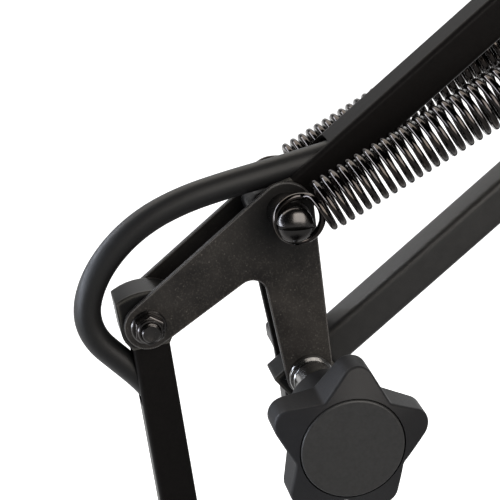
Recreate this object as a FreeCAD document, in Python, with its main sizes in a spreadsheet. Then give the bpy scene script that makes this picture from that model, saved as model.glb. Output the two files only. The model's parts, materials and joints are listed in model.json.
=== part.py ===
import FreeCAD, Part
import Sketcher
import math
import os
from FreeCAD import Placement, Rotation, Vector

# Desk-mounted microphone boom arm: two parallel-bar sections balanced by springs.
# Origin on the desk's top face under the swivel axis, +Z up, the arm in the XZ plane,
# its front (the side with the large knob) towards -Y. Lengths in mm, angles in degrees.

SIZES = (
    # bars of square tube and the pose that they rest in
    ("tube_side", 10.0), ("tube_corner", 1.4), ("tube_wall", 0.8),
    ("lower_bar", 380.0), ("upper_bar", 380.0),
    ("lower_lean_deg", 98.1), ("upper_rise_deg", 40.45),
    # moulded knuckles that close the tubes and turn on the pivots
    ("knuckle_seat", 6.5), ("knuckle_bend", 6.0), ("knuckle_edge", 0.5), ("tenon_length", 6.3),
    ("tenon_height", 3.4), ("fit_gap", 0.05),
    ("lower_main_waist", 3.2), ("lower_main_waist_half", 7.0), ("lower_main_half", 7.35),
    ("lower_main_tip", 7.15), ("lower_main_peak", 10.9), ("lower_main_corner", 0.3),
    ("lower_second_half", 6.3), ("lower_second_reach", 7.0), ("lower_second_lip", 4.2),
    ("lower_second_corner", 1.4), ("lower_second_bend", 0.6),
    ("upper_top_waist", 3.2), ("upper_top_waist_half", 6.2), ("upper_top_half", 7.2),
    ("upper_top_reach", 7.6), ("upper_top_corner", 2.5),
    ("upper_second_reach", 8.2), ("upper_second_corner", 0.6),
    ("channel_wall", 1.1), ("channel_rise_deg", 26.0),
    # elbow plates
    ("plate_thickness", 1.5), ("plate_gap", 10.6), ("plate_edge", 0.25),
    ("left_leg", 46.1), ("right_leg", 47.0), ("left_leg_deg", 219.0), ("apex_deg", 59.7),
    ("leg_end_radius", 6.35), ("apex_radius", 7.6), ("notch_depth", 24.1), ("notch_radius", 4.0),
    # pivot hardware
    ("bolt_diameter", 4.0), ("bolt_head_diameter", 8.0), ("bolt_head_height", 2.8),
    ("bolt_head_round", 1.6), ("bolt_tip", 1.6), ("bush_diameter", 7.0), ("washer_diameter", 9.0),
    ("washer_thickness", 0.8), ("nut_across", 7.2), ("nut_height", 3.4), ("nut_collar_diameter", 6.0),
    ("nut_collar_height", 1.6), ("side_play", 0.3),
    # spring studs and their slotted screws
    ("stud_diameter", 10.0), ("stud_seat_diameter", 7.0), ("seat_play", 0.3),
    ("screw_diameter", 4.0), ("screw_length", 7.0), ("screw_head_diameter", 8.7),
    ("screw_head_height", 2.6), ("screw_head_round", 2.2), ("slot_width", 1.2), ("slot_depth", 1.1),
    # extension springs
    ("spring_standoff", 9.0), ("spring_wire", 1.8), ("spring_outside", 13.4), ("spring_pitch", 2.58),
    ("upper_curl_count", 29), ("lower_curl_count", 20), ("hook_lead", 7.8), ("hook_bend", 3.2),
    ("hook_open_deg", 50.0), ("upper_anchor", 243.0), ("lower_anchor", 215.0), ("base_stud", 15.6),
    # links from the springs to their anchors
    ("link_width", 8.0), ("link_thickness", 1.5), ("link_seat_diameter", 4.0),
    ("eye_play", 2.2), ("eye_width", 12.0), ("flange_thickness", 1.0),
    ("flange_diameter", 11.0), ("collar_side", 14.0), ("collar_length", 12.0), ("collar_spacer", 8.0),
    # large knob of the elbow
    ("knob_bolt_diameter", 5.0), ("knob_radius", 20.3), ("knob_valley_radius", 14.44),
    ("knob_lobe_radius", 4.4), ("knob_notch_radius", 1.5), ("knob_lobe_count", 5), ("knob_turn_deg", -5.0),
    ("knob_thickness", 11.1), ("knob_round", 0.9), ("knob_shoulder", 3.4), ("knob_hub_length", 13.4),
    ("knob_hub_radius", 10.45), ("knob_root_radius", 11.2), ("knob_collar_radius", 5.9),
    ("knob_collar_thickness", 1.7), ("knob_sleeve_radius", 5.2), ("knob_sleeve_length", 17.2),
    ("knob_cap_radius", 13.0), ("knob_cap_thickness", 2.0), ("knob_cap_round", 0.6), ("knob_cap_gap", 0.3),
    ("knob_recess", 1.6), ("knob_bolt_bite", 14.0),
    # microphone cable
    ("cable_diameter", 7.2), ("cable_slot_play", 0.3), ("lower_slot", 17.5), ("upper_slot", 13.4),
    ("route_step", 10.0),
    ("plug_radius", 9.5), ("plug_length", 40.0), ("plug_rim", 1.2), ("plug_neck", 8.0),
    ("boot_length", 20.0), ("boot_radius", 6.2), ("boot_tip_radius", 4.6), ("plug_bore_radius", 7.6),
    ("plug_bore_depth", 14.0), ("pin_circle", 3.4), ("pin_radius", 1.2), ("pin_length", 12.0),
    ("plug_pin_count", 3),
    # base yoke and swivel
    ("main_pivot_back", 21.5), ("base_pivot_rise", 15.552), ("base_end_radius", 8.0),
    ("base_foot_half", 14.0), ("base_foot_radius", 3.0), ("block_gap", 1.552),
    ("spigot_radius", 6.0), ("spigot_length", 33.0), ("flange_radius", 16.0), ("flange_height", 4.0),
    # desk clamp
    ("jaw_pad", 3.0), ("jaw_thickness", 8.0), ("jaw_reach", 30.0), ("clamp_width", 36.0),
    ("spine_back", 32.0), ("spine_thickness", 10.0), ("lower_jaw_drop", 62.0),
    ("lower_jaw_thickness", 10.0), ("lower_jaw_reach", 24.0), ("clamp_corner", 7.0),
    ("clamp_inner_corner", 4.0), ("clamp_tip", 2.0), ("socket_radius", 13.0), ("socket_height", 30.0),
    ("socket_floor", 3.0), ("bush_wall", 1.0), ("bush_flange", 1.5), ("jaw_pad_inset", 2.0),
    ("screw_rod_radius", 5.0), ("screw_boss_radius", 9.0), ("screw_boss_drop", 6.0),
    ("screw_reach", 4.0), ("screw_rod_length", 84.0), ("jaw_opening", 45.0), ("pad_radius", 15.0),
    ("pad_height", 5.0), ("pad_rubber", 2.0), ("pad_cup", 3.0), ("screw_head_radius", 8.0),
    ("screw_head_length", 16.0), ("tommy_radius", 3.0), ("tommy_length", 72.0),
    ("tommy_cap_radius", 4.6), ("tommy_cap_length", 8.0),
    ("thumb_radius", 3.0), ("thumb_height", 17.0), ("thumb_head_radius", 9.0),
    ("thumb_head_length", 8.0), ("thumb_neck", 4.0), ("thumb_flat", 5.0), ("tip_gap", 0.3),
    # head with the microphone thread
    ("head_end_radius", 8.0), ("head_reach", 32.0), ("head_drop", 6.0), ("head_eye_radius", 8.5),
    ("mic_rest_deg", 45.0), ("mic_neck", 17.0), ("mic_neck_half", 5.0), ("mic_flange_radius", 11.0),
    ("mic_flange_height", 4.0), ("mic_thread_radius", 7.94), ("mic_thread_length", 13.0),
    ("mic_bore_radius", 3.0), ("mic_thread_lead", 1.2), ("head_knob_radius", 13.0),
    ("head_knob_valley_radius", 9.2), ("head_knob_lobe_radius", 2.9), ("head_knob_notch_radius", 1.0),
    ("head_knob_hub", 6.0), ("head_knob_hub_radius", 6.0), ("head_knob_thickness", 9.0),
    ("head_knob_round", 1.2),
    # how far a cut runs past the face that it opens
    ("overrun", 1.0),
)

document = FreeCAD.newDocument("boom_arm")
sheet = document.addObject("Spreadsheet::Sheet", "Sizes")
for row, (alias, value) in enumerate(SIZES, start=1):
    sheet.set(f"A{row}", alias.replace("_", " "))
    sheet.set(f"B{row}", str(value))
    sheet.setAlias(f"B{row}", alias)
document.recompute()


# reading sizes: a text such as "plate_gap/2 + washer_thickness" is a sum of named sizes

def words_of(text):
    sign = 1
    for word in text.split():
        if word in "+-":
            sign = 1 if word == "+" else -1
            continue
        alias, _, divisor = word.partition("/")
        yield sign, alias, divisor or "1"
        sign = 1


def size(text):
    return sum(sign * sheet.get(alias) / float(divisor) for sign, alias, divisor in words_of(text))


def formula(text):
    return " + ".join(f"{sign} * Sizes.{alias} / {divisor}" for sign, alias, divisor in words_of(text))


# points of the arm's plane, as vectors in XZ

def flat(x, z):
    return Vector(x, 0, z)


def polar(length, degrees):
    angle = math.radians(degrees)
    return flat(length * math.cos(angle), length * math.sin(angle))


def heading(vector):
    return math.degrees(math.atan2(vector.z, vector.x))


LOWER = polar(1, size("lower_lean_deg"))
UPPER = polar(1, size("upper_rise_deg"))
FOOT = size("jaw_pad + jaw_thickness + socket_height + bush_flange + flange_height")
ACROSS = polar(size("right_leg"), size("left_leg_deg + apex_deg")) - polar(size("left_leg"), size("left_leg_deg"))
BASE_MAIN = flat(-size("main_pivot_back"), FOOT + size("base_pivot_rise") - ACROSS.z)
ELBOW_LEFT = BASE_MAIN + LOWER * size("lower_bar")
ELBOW_APEX = ELBOW_LEFT - polar(size("left_leg"), size("left_leg_deg"))
ELBOW_KNOB = ELBOW_LEFT + ACROSS
BASE_SECOND = BASE_MAIN + ACROSS
HEAD_TOP = ELBOW_APEX + UPPER * size("upper_bar")
HEAD_SECOND = HEAD_TOP + ELBOW_KNOB - ELBOW_APEX
HEAD_EYE = HEAD_TOP + flat(size("head_reach"), -size("head_drop"))
BASE_STUD = BASE_MAIN + (BASE_SECOND - BASE_MAIN).normalize() * size("base_stud")
UPPER_ANCHOR = ELBOW_KNOB + UPPER * size("upper_anchor")
LOWER_ANCHOR = BASE_MAIN + LOWER * size("lower_anchor")

PLATE_FACE = size("plate_gap/2 + plate_thickness")
SPRING_SIDE = PLATE_FACE + size("spring_standoff")
OUTER_BAR = PLATE_FACE + size("side_play + tube_side/2")
FRONT = Rotation(Vector(1, 0, 0), 90)
REAR = Rotation(Vector(1, 0, 0), -90)
SIDES = (("front", -1, FRONT), ("rear", 1, REAR))


def at(place, side=0.0, turn=Rotation()):
    return Placement(Vector(place.x, side, place.z), turn)


def along(direction):
    return Rotation(Vector(0, 1, 0), -heading(direction))


# sketches and features

def new_body(name):
    body = document.addObject("PartDesign::Body", name)
    body.Label = name
    return body


def new_sketch(body, role, name):
    sketch = body.newObject("Sketcher::SketchObject", f"{body.Name}_{name}")
    support = next(feature for feature in body.Origin.OriginFeatures if feature.Role == role)
    sketch.AttachmentSupport = [(support, "")]
    sketch.MapMode = "FlatFace"
    return sketch


def arc_between(centre, radius, start, end):
    first = math.atan2(start.y - centre.y, start.x - centre.x)
    last = math.atan2(end.y - centre.y, end.x - centre.x)
    circle = Part.Circle(centre, Vector(0, 0, 1), radius)
    return Part.ArcOfCircle(circle, first, last)


def rounded(corners):
    """Closed outline through corners (x, y, radius), counter-clockwise, each corner rounded."""
    edges = []
    spots = [Vector(x, y, 0) for x, y, _ in corners]
    entries, exits = [], []
    for index, spot in enumerate(spots):
        back = (spots[index - 1] - spot).normalize()
        onward = (spots[(index + 1) % len(spots)] - spot).normalize()
        half = back.getAngle(onward) / 2
        reach = corners[index][2] / math.tan(half)
        entries.append(spot + back * reach)
        exits.append(spot + onward * reach)
        if corners[index][2]:
            centre = spot + (back + onward).normalize() * (corners[index][2] / math.sin(half))
            turn = back.cross(onward).z
            pair = (entries[-1], exits[-1]) if turn < 0 else (exits[-1], entries[-1])
            edges.append(arc_between(centre, corners[index][2], *pair))
    for index in range(len(spots)):
        edges.append(Part.LineSegment(exits[index - 1], entries[index]))
    return edges


def hull(circles):
    """Closed outline round circles (centre, radius), counter-clockwise; a radius below 0 is a notch."""
    count = len(circles)
    normals = []
    for index in range(count):
        (start, first), (end, last) = circles[index], circles[(index + 1) % count]
        run = end - start
        lean = math.asin((first - last) / run.Length)
        run = run.normalize()
        normals.append(Vector(run.y, -run.x, 0) * math.cos(lean) + run * math.sin(lean))
    edges = []
    for index, (centre, radius) in enumerate(circles):
        enter = centre + normals[index - 1] * radius
        leave = centre + normals[index] * radius
        pair = (enter, leave) if radius > 0 else (leave, enter)
        edges.append(arc_between(centre, abs(radius), *pair))
        following, next_radius = circles[(index + 1) % count]
        edges.append(Part.LineSegment(leave, following + normals[index] * next_radius))
    return edges


def sheet_point(vector):
    return Vector(vector.x, vector.z, 0)


def extrude(body, kind, name, role, edges, length, side="Symmetric", reverse=False):
    sketch = new_sketch(body, role, f"{name}_sketch")
    sketch.addGeometry(edges, False)
    feature = body.newObject(f"PartDesign::{kind}", f"{body.Name}_{name}")
    feature.Profile = sketch
    feature.SideType = side
    feature.Reversed = reverse
    if length is None:
        feature.Type = "ThroughAll"
    else:
        feature.setExpression("Length", formula(length))
    return feature


def drill(body, name, role, spots, radius):
    """Round holes right through, at points of the sketch plane."""
    sketch = new_sketch(body, role, f"{name}_sketch")
    for spot in spots:
        hole = sketch.addGeometry(Part.Circle(spot, Vector(0, 0, 1), size(radius)), False)
        bound = sketch.addConstraint(Sketcher.Constraint("Radius", hole, size(radius)))
        sketch.setExpression(f"Constraints[{bound}]", formula(radius))
    feature = body.newObject("PartDesign::Pocket", f"{body.Name}_{name}")
    feature.Profile = sketch
    feature.SideType = "Symmetric"
    feature.Type = "ThroughAll"
    return feature


def turned(name, profile, feature_kind="PartDesign::Revolution", body=None):
    """Piece turned about Z from a profile of (radius, height) texts; "0" lies on an axis."""
    body = body or new_body(name)
    sketch = new_sketch(body, "XZ_Plane", f"{feature_kind[12:]}_sketch")
    worth = [[0.0 if text == "0" else size(text) for text in pair] for pair in profile]
    spots = [Vector(*pair, 0) for pair in worth]
    for index, spot in enumerate(spots):
        sketch.addGeometry(Part.LineSegment(spot, spots[(index + 1) % len(spots)]), False)
    for index in range(len(spots)):
        sketch.addConstraint(Sketcher.Constraint("Coincident", index - 1 if index else len(spots) - 1, 2, index, 1))
    for index, pair in enumerate(profile):
        for kind, axis, text, value in zip(("DistanceX", "DistanceY"), (-2, -1), pair, worth[index]):
            if text == "0":
                sketch.addConstraint(Sketcher.Constraint("PointOnObject", index, 1, axis))
                continue
            bound = sketch.addConstraint(Sketcher.Constraint(kind, -1, 1, index, 1, value))
            sketch.setExpression(f"Constraints[{bound}]", formula(text))
    feature = body.newObject(feature_kind, f"{body.Name}_{feature_kind[12:]}")
    feature.Profile = sketch
    feature.ReferenceAxis = (sketch, ["V_Axis"])
    return body


def soften(body, radius, wanted):
    """Round the edges that a test picks, with a named radius."""
    document.recompute()
    base = body.Tip
    names = [f"Edge{i}" for i, edge in enumerate(base.Shape.Edges, start=1) if wanted(edge)]
    fillet = body.newObject("PartDesign::Fillet", f"{body.Name}_{radius}_fillet")
    fillet.Base = (base, names)
    fillet.setExpression("Radius", formula(radius))
    document.recompute()


def ring_at(height, radius):
    """Test for a round edge at a height and radius."""
    def wanted(edge):
        curve = edge.Curve
        return (isinstance(curve, Part.Circle) and abs(curve.Center.z - height) < size("fit_gap")
                and abs(curve.Radius - radius) < size("fit_gap"))
    return wanted


def group(name, pieces):
    compound = document.addObject("Part::Compound", f"{name}_group")
    compound.Label = name
    compound.Links = pieces
    NODES[name] = compound


def keep(body, placement):
    body.Placement = placement
    NODES[body.Label] = body
    return body


NODES = {}


# bars: square tubes, slotted for the cable, with a knuckle in each end

def tube(name, length, slot=None):
    body = new_body(name)
    half = size("tube_side/2")
    inner = size("tube_side/2 - tube_wall")
    signs = ((1, 1), (-1, 1), (-1, -1), (1, -1))
    edges = rounded([(half * y, half * z, size("tube_corner")) for y, z in signs])
    edges += rounded([(inner * y, inner * z, size("tube_corner - tube_wall")) for y, z in signs])
    pad = extrude(body, "Pad", "wall", "YZ_Plane", edges, f"{length} - knuckle_seat - knuckle_seat", "One side")
    if slot:
        document.recompute()
        whole = pad.Shape.Volume
        reach = size(slot)
        width = size("cable_diameter/2 + cable_slot_play")
        run = size(f"{length} - knuckle_seat - knuckle_seat")
        over = size("overrun")
        edges = []
        for start, end in ((-over, reach), (run - reach, run + over)):
            blunt = [(start, -width), (end, -width), (end, width), (start, width)]
            inner_end = reach if start < 0 else run - reach
            edges += rounded([(x, y, width / 2 if x == inner_end else 0) for x, y in blunt])
        extrude(body, "Pocket", "slots", "XY_Plane", edges, "tube_side", "One side", True)
        document.recompute()
        assert body.Shape.Volume < whole
    return body


dome_share = 0.92
dome_rise = size("lower_main_peak - lower_main_tip")
dome = dome_share * math.hypot(dome_rise, size("lower_main_half")) * size("lower_main_half") / dome_rise
lip_half = size("lower_second_half - tube_side/2")

# half outlines of the crowns: distance past the pivot, height over the bar's axis, corner radius
CROWNS = {
    "lower_main": [(-size("lower_main_waist"), size("lower_main_waist_half"), size("knuckle_bend")),
                   (size("lower_main_tip"), size("lower_main_half"), size("lower_main_corner")),
                   (size("lower_main_peak"), 0.0, dome)],
    "lower_second": [(size("lower_second_reach - lower_second_lip") - lip_half, size("tube_side/2"),
                      size("lower_second_bend")),
                     (size("lower_second_reach - lower_second_lip"), size("lower_second_half"),
                      size("lower_second_bend")),
                     (size("lower_second_reach"), size("lower_second_half"), size("lower_second_corner"))],
    "upper_top": [(-size("upper_top_waist"), size("upper_top_waist_half"), size("knuckle_bend")),
                  (size("upper_top_reach"), size("upper_top_half"), size("upper_top_corner"))],
    "upper_second": [(size("upper_second_reach"), size("tube_side/2"), size("upper_second_corner"))],
}


def channel(body):
    """Groove for the cable, which slopes over the pivot and down into the tube."""
    floor = size("bush_diameter/2 + fit_gap + channel_wall")
    reach, rise = size("tube_side + tube_side"), size("channel_rise_deg")
    run, up = polar(1, rise), polar(1, rise + 90)
    corners = (up * floor - run * reach, up * floor + run * reach, up * reach + run * reach, up * reach - run * reach)
    whole = body.Shape.Volume
    extrude(body, "Pocket", "channel", "XZ_Plane", rounded([(spot.x, spot.z, 0) for spot in corners]),
            "cable_diameter + cable_slot_play + cable_slot_play")
    document.recompute()
    assert body.Shape.Volume < whole


def knuckle(name, crown):
    """Moulded end: crown with the pivot hole, and a half-height tenon inside the tube."""
    body = new_body(name)
    seat = size("knuckle_seat")
    side = [(-seat, size("tube_side/2"), 0.0)] + crown
    flank = [spot for spot in side if spot[1]]
    outline = [(x, -z, r) for x, z, r in flank] + [spot for spot in side if not spot[1]] + flank[::-1]
    extrude(body, "Pad", "crown", "XZ_Plane", rounded(outline), "tube_side")
    inner = size("tube_side/2 - tube_wall - fit_gap")
    tenon_end = -size("knuckle_seat + tenon_length")
    tenon_top = size("tenon_height") - inner
    tenon = [(tenon_end, -inner, 0), (-seat, -inner, 0), (-seat, tenon_top, 0), (tenon_end, tenon_top, 0)]
    extrude(body, "Pad", "tenon", "XZ_Plane", rounded(tenon),
            "tube_side - tube_wall - tube_wall - tube_corner + tube_wall")
    drill(body, "pivot", "XZ_Plane", [Vector()], "bush_diameter/2 + fit_gap")
    rim = size("tube_side/2")

    def crown_rim(edge):
        box = edge.BoundBox
        return (abs(abs(box.YMin) - rim) < size("fit_gap") and abs(box.YMax - box.YMin) < size("fit_gap")
                and box.XMax > -seat + size("fit_gap") and not (isinstance(edge.Curve, Part.Circle)
                                                               and edge.Closed))
    soften(body, "knuckle_edge", crown_rim)
    return body


def bar(name, length, start, direction, side, slot=None, grooved=False):
    """One bar of the arm: its tube and its two knuckles."""
    turn = along(direction)
    keep(tube(f"{name}_tube", length, slot),
         at(start + direction * size("knuckle_seat"), side, turn))
    ends = []
    for end, spot, flip in (("start", start, 180), ("end", start + direction * size(length), 0)):
        piece = knuckle(f"{name}_knuckle_{end}", CROWNS[name])
        if grooved:
            channel(piece)
        piece.Placement = at(spot, side, turn * Rotation(Vector(0, 0, 1), flip))
        ends.append(piece)
    group(f"{name}_knuckles", ends)


bar("lower_main", "lower_bar", BASE_MAIN, LOWER, 0.0, "lower_slot")
bar("lower_second", "lower_bar", BASE_SECOND, LOWER, OUTER_BAR)
bar("upper_top", "upper_bar", ELBOW_APEX, UPPER, 0.0, "upper_slot", True)
bar("upper_second", "upper_bar", ELBOW_KNOB, UPPER, 0.0)


# plates

def plate(name, circles, holes, place, side):
    """Flat plate round circles of the arm's plane, drilled for (point, radius text) holes."""
    body = new_body(name)
    spots = [(sheet_point(centre - place), radius) for centre, radius in circles]
    extrude(body, "Pad", "sheet", "XZ_Plane", hull(spots), "plate_thickness")
    for index, (centre, radius) in enumerate(holes):
        drill(body, f"hole_{index}", "XZ_Plane", [sheet_point(centre - place)], radius)

    def outline(edge):
        box = edge.BoundBox
        return box.YMax - box.YMin < size("fit_gap") and not edge.Closed
    soften(body, "plate_edge", outline)
    body.Placement = at(place, side * size("plate_gap/2 + plate_thickness/2"))
    return body


BOLT_HOLE = "bolt_diameter/2 + fit_gap"
KNOB_BOLT_HOLE = "knob_bolt_diameter/2 + fit_gap"
notch = ELBOW_APEX + polar(size("notch_depth"), size("left_leg_deg + apex_deg/2"))
elbow_outline = ((ELBOW_KNOB, size("leg_end_radius")), (ELBOW_APEX, size("apex_radius")),
                 (ELBOW_LEFT, size("leg_end_radius")), (notch, -size("notch_radius")))
elbow_holes = ((ELBOW_LEFT, BOLT_HOLE), (ELBOW_APEX, BOLT_HOLE), (ELBOW_KNOB, KNOB_BOLT_HOLE))
foot_height = FOOT + size("base_foot_radius")
base_outline = ((flat(-size("base_foot_half"), foot_height), size("base_foot_radius")),
                (flat(size("base_foot_half"), foot_height), size("base_foot_radius")),
                (BASE_SECOND, size("base_end_radius")), (BASE_MAIN, size("base_end_radius")))
base_holes = ((BASE_MAIN, BOLT_HOLE), (BASE_SECOND, BOLT_HOLE), (BASE_STUD, BOLT_HOLE))
head_outline = ((HEAD_SECOND, size("head_end_radius")), (HEAD_EYE, size("head_eye_radius")),
                (HEAD_TOP, size("head_end_radius")))
head_holes = ((HEAD_TOP, BOLT_HOLE), (HEAD_SECOND, BOLT_HOLE), (HEAD_EYE, BOLT_HOLE))
for side_name, sign, _ in SIDES:
    NODES[f"elbow_plate_{side_name}"] = plate(f"elbow_plate_{side_name}", elbow_outline, elbow_holes,
                                              ELBOW_APEX, sign)
group("base_plates", [plate(f"base_plate_{side_name}", base_outline, base_holes, BASE_MAIN, sign)
                      for side_name, sign, _ in SIDES])
group("head_plates", [plate(f"head_plate_{side_name}", head_outline, head_holes, HEAD_TOP, sign)
                      for side_name, sign, _ in SIDES])


# pivot hardware, turned about Z and laid along -Y or +Y

def bush(name, bolt, length, place, start):
    piece = turned(name, [(f"{bolt}/2 + fit_gap", "0"), ("bush_diameter/2", "0"),
                          ("bush_diameter/2", length), (f"{bolt}/2 + fit_gap", length)])
    piece.Placement = at(place, start, REAR)
    return piece


def bolt(name, diameter, length, place, start, turn=FRONT):
    """Round-headed bolt, its head behind the start plane and its shank pointing forwards."""
    piece = turned(name, [("0", "0"), ("bolt_head_diameter/2", "0"),
                          ("bolt_head_diameter/2", "bolt_head_height"),
                          (f"{diameter}/2", "bolt_head_height"),
                          (f"{diameter}/2", f"bolt_head_height + {length}"),
                          ("0", f"bolt_head_height + {length}")])
    soften(piece, "bolt_head_round", ring_at(0.0, size("bolt_head_diameter/2")))
    piece.Placement = at(place, start, turn)
    return piece


def washer(name, place, start, turn=FRONT):
    piece = turned(name, [(BOLT_HOLE, "0"), ("washer_diameter/2", "0"),
                          ("washer_diameter/2", "washer_thickness"), (BOLT_HOLE, "washer_thickness")])
    piece.Placement = at(place, start, turn)
    return piece


def nut(name, place, start, turn=FRONT, bore=BOLT_HOLE):
    """Hexagon nut with a round locking collar."""
    body = new_body(name)
    corner = size("nut_across/2") / math.cos(math.radians(30))
    hexagon = [(corner * math.cos(k * math.pi / 3), corner * math.sin(k * math.pi / 3), 0) for k in range(6)]
    extrude(body, "Pad", "hexagon", "XY_Plane", rounded(hexagon), "nut_height", "One side")
    collar = [Part.Circle(Vector(), Vector(0, 0, 1), size("nut_collar_diameter/2"))]
    extrude(body, "Pad", "collar", "XY_Plane", collar, "nut_height + nut_collar_height", "One side")
    drill(body, "bore", "XY_Plane", [Vector()], bore)
    body.Placement = at(place, start, turn)
    return body


HALF_GAP = size("plate_gap/2")
THROUGH = "plate_gap + plate_thickness + plate_thickness"
NUT_STACK = "washer_thickness + nut_height + nut_collar_height + bolt_tip"
OUTER_STACK = "tube_side + side_play + side_play"
HEAD = size("bolt_head_height")

group("elbow_bushes", [
    bush("elbow_bush_left", "bolt_diameter", "plate_gap", ELBOW_LEFT, -HALF_GAP),
    bush("elbow_bush_apex", "bolt_diameter", "plate_gap", ELBOW_APEX, -HALF_GAP),
    bush("elbow_bush_knob", "knob_bolt_diameter", "plate_gap", ELBOW_KNOB, -HALF_GAP),
    bush("elbow_bush_outer", "knob_bolt_diameter", OUTER_STACK, ELBOW_KNOB, PLATE_FACE)])
apex_rod = turned("elbow_apex_rod", [("0", "0"), ("bolt_diameter/2", "0"),
                                     ("bolt_diameter/2", THROUGH), ("0", THROUGH)])
apex_rod.Placement = at(ELBOW_APEX, -PLATE_FACE, REAR)
group("elbow_pivot_bolts", [
    bolt("elbow_bolt_left", "bolt_diameter", f"{THROUGH} + {NUT_STACK}", ELBOW_LEFT, PLATE_FACE + HEAD),
    apex_rod])
group("elbow_left_nut", [washer("elbow_washer", ELBOW_LEFT, -PLATE_FACE),
                         nut("elbow_nut", ELBOW_LEFT, -PLATE_FACE - size("washer_thickness"))])
outer_end = PLATE_FACE + size(OUTER_STACK)
keep(bolt("elbow_knob_bolt", "knob_bolt_diameter",
          f"{OUTER_STACK} + {THROUGH} + knob_collar_thickness + knob_sleeve_length + knob_bolt_bite",
          ELBOW_KNOB, 0.0),
     at(ELBOW_KNOB, outer_end + HEAD, FRONT))

group("base_pivot_bushes", [
    bush("base_bush_main", "bolt_diameter", "plate_gap", BASE_MAIN, -HALF_GAP),
    bush("base_bush_spacer", "bolt_diameter", "plate_gap", BASE_SECOND, -HALF_GAP),
    bush("base_bush_outer", "bolt_diameter", OUTER_STACK, BASE_SECOND, PLATE_FACE),
    bush("base_bush_stud", "bolt_diameter", "plate_gap", BASE_STUD, -HALF_GAP)])
base_rod = turned("base_stud_rod", [("0", "0"), ("bolt_diameter/2", "0"),
                                    ("bolt_diameter/2", THROUGH), ("0", THROUGH)])
base_rod.Placement = at(BASE_STUD, -PLATE_FACE, REAR)
group("base_pivot_bolts", [
    bolt("base_bolt_main", "bolt_diameter", f"{THROUGH} + {NUT_STACK}", BASE_MAIN, PLATE_FACE + HEAD),
    bolt("base_bolt_second", "bolt_diameter", f"{OUTER_STACK} + {THROUGH} + {NUT_STACK}", BASE_SECOND,
         outer_end + HEAD), base_rod])
group("base_pivot_nuts", [piece for name, place in (("main", BASE_MAIN), ("second", BASE_SECOND)) for piece in (
    washer(f"base_washer_{name}", place, -PLATE_FACE),
    nut(f"base_nut_{name}", place, -PLATE_FACE - size("washer_thickness")))])

group("head_pivot_bushes", [bush(f"head_bush_{name}", "bolt_diameter", "plate_gap", place, -HALF_GAP)
                            for name, place in (("top", HEAD_TOP), ("second", HEAD_SECOND), ("eye", HEAD_EYE))])
eye_bolt = bolt("head_bolt_eye", "bolt_diameter", f"{THROUGH} + washer_thickness + head_knob_hub",
                HEAD_EYE, PLATE_FACE + HEAD)
group("head_pivot_bolts", [bolt(f"head_bolt_{name}", "bolt_diameter", f"{THROUGH} + {NUT_STACK}", place,
                                PLATE_FACE + HEAD) for name, place in (("top", HEAD_TOP), ("second", HEAD_SECOND))]
      + [eye_bolt])
group("head_pivot_nuts", [piece for name, place in (("top", HEAD_TOP), ("second", HEAD_SECOND)) for piece in (
    washer(f"head_washer_{name}", place, -PLATE_FACE),
    nut(f"head_nut_{name}", place, -PLATE_FACE - size("washer_thickness")))]
    + [washer("head_washer_eye", HEAD_EYE, -PLATE_FACE)])


# spring studs: a flange, a seat for the hook and a slotted screw that keeps the hook on

STUD_FLANGE = "spring_standoff - spring_wire/2 - seat_play"
STUD_LENGTH = "spring_standoff + spring_wire/2 + seat_play"


def spring_stud(name, place, sign, turn):
    """Stud with a screw hole from its outer end."""
    piece = turned(name, [("0", "0"), ("stud_diameter/2", "0"), ("stud_diameter/2", STUD_FLANGE),
                          ("stud_seat_diameter/2", STUD_FLANGE), ("stud_seat_diameter/2", STUD_LENGTH),
                          ("screw_diameter/2 + fit_gap", STUD_LENGTH),
                          ("screw_diameter/2 + fit_gap", f"{STUD_LENGTH} - screw_length - seat_play"),
                          ("0", f"{STUD_LENGTH} - screw_length - seat_play")])
    piece.Placement = at(place, sign * PLATE_FACE, turn)
    return piece


def stud_screw(name, place, sign, turn):
    """Round-headed slotted screw, its shank towards the stud."""
    piece = turned(name, [("0", "0"), ("screw_diameter/2", "0"), ("screw_diameter/2", "screw_length"),
                          ("screw_head_diameter/2", "screw_length"),
                          ("screw_head_diameter/2", "screw_length + screw_head_height"),
                          ("0", "screw_length + screw_head_height")])
    top = size("screw_length + screw_head_height")
    soften(piece, "screw_head_round", ring_at(top, size("screw_head_diameter/2")))
    half, over = size("slot_width/2"), size("overrun + screw_head_diameter/2")
    low = top - size("slot_depth")
    cut = [(-half, low, 0), (half, low, 0), (half, top + size("overrun"), 0), (-half, top + size("overrun"), 0)]
    extrude(piece, "Pocket", "slot", "YZ_Plane", rounded(cut), None)
    piece.Placement = Placement(Vector(place.x, sign * (PLATE_FACE + size(STUD_LENGTH) - size("screw_length")),
                                       place.z), turn)
    return piece


STUDS = {owner: [spring_stud(f"{owner}_stud_{name}", place, sign, turn) for name, sign, turn in SIDES]
         for owner, place in (("elbow", ELBOW_APEX), ("base", BASE_STUD))}
SCREWS = {owner: [stud_screw(f"{owner}_screw_{name}", place, sign, turn) for name, sign, turn in SIDES]
          for owner, place in (("elbow", ELBOW_APEX), ("base", BASE_STUD))}
group("elbow_spring_studs", STUDS["elbow"])
group("elbow_stud_screws", SCREWS["elbow"])
group("base_spring_studs", STUDS["base"] + SCREWS["base"])


# springs: a hook loop, close curls and a second loop, one wire from end to end

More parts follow.
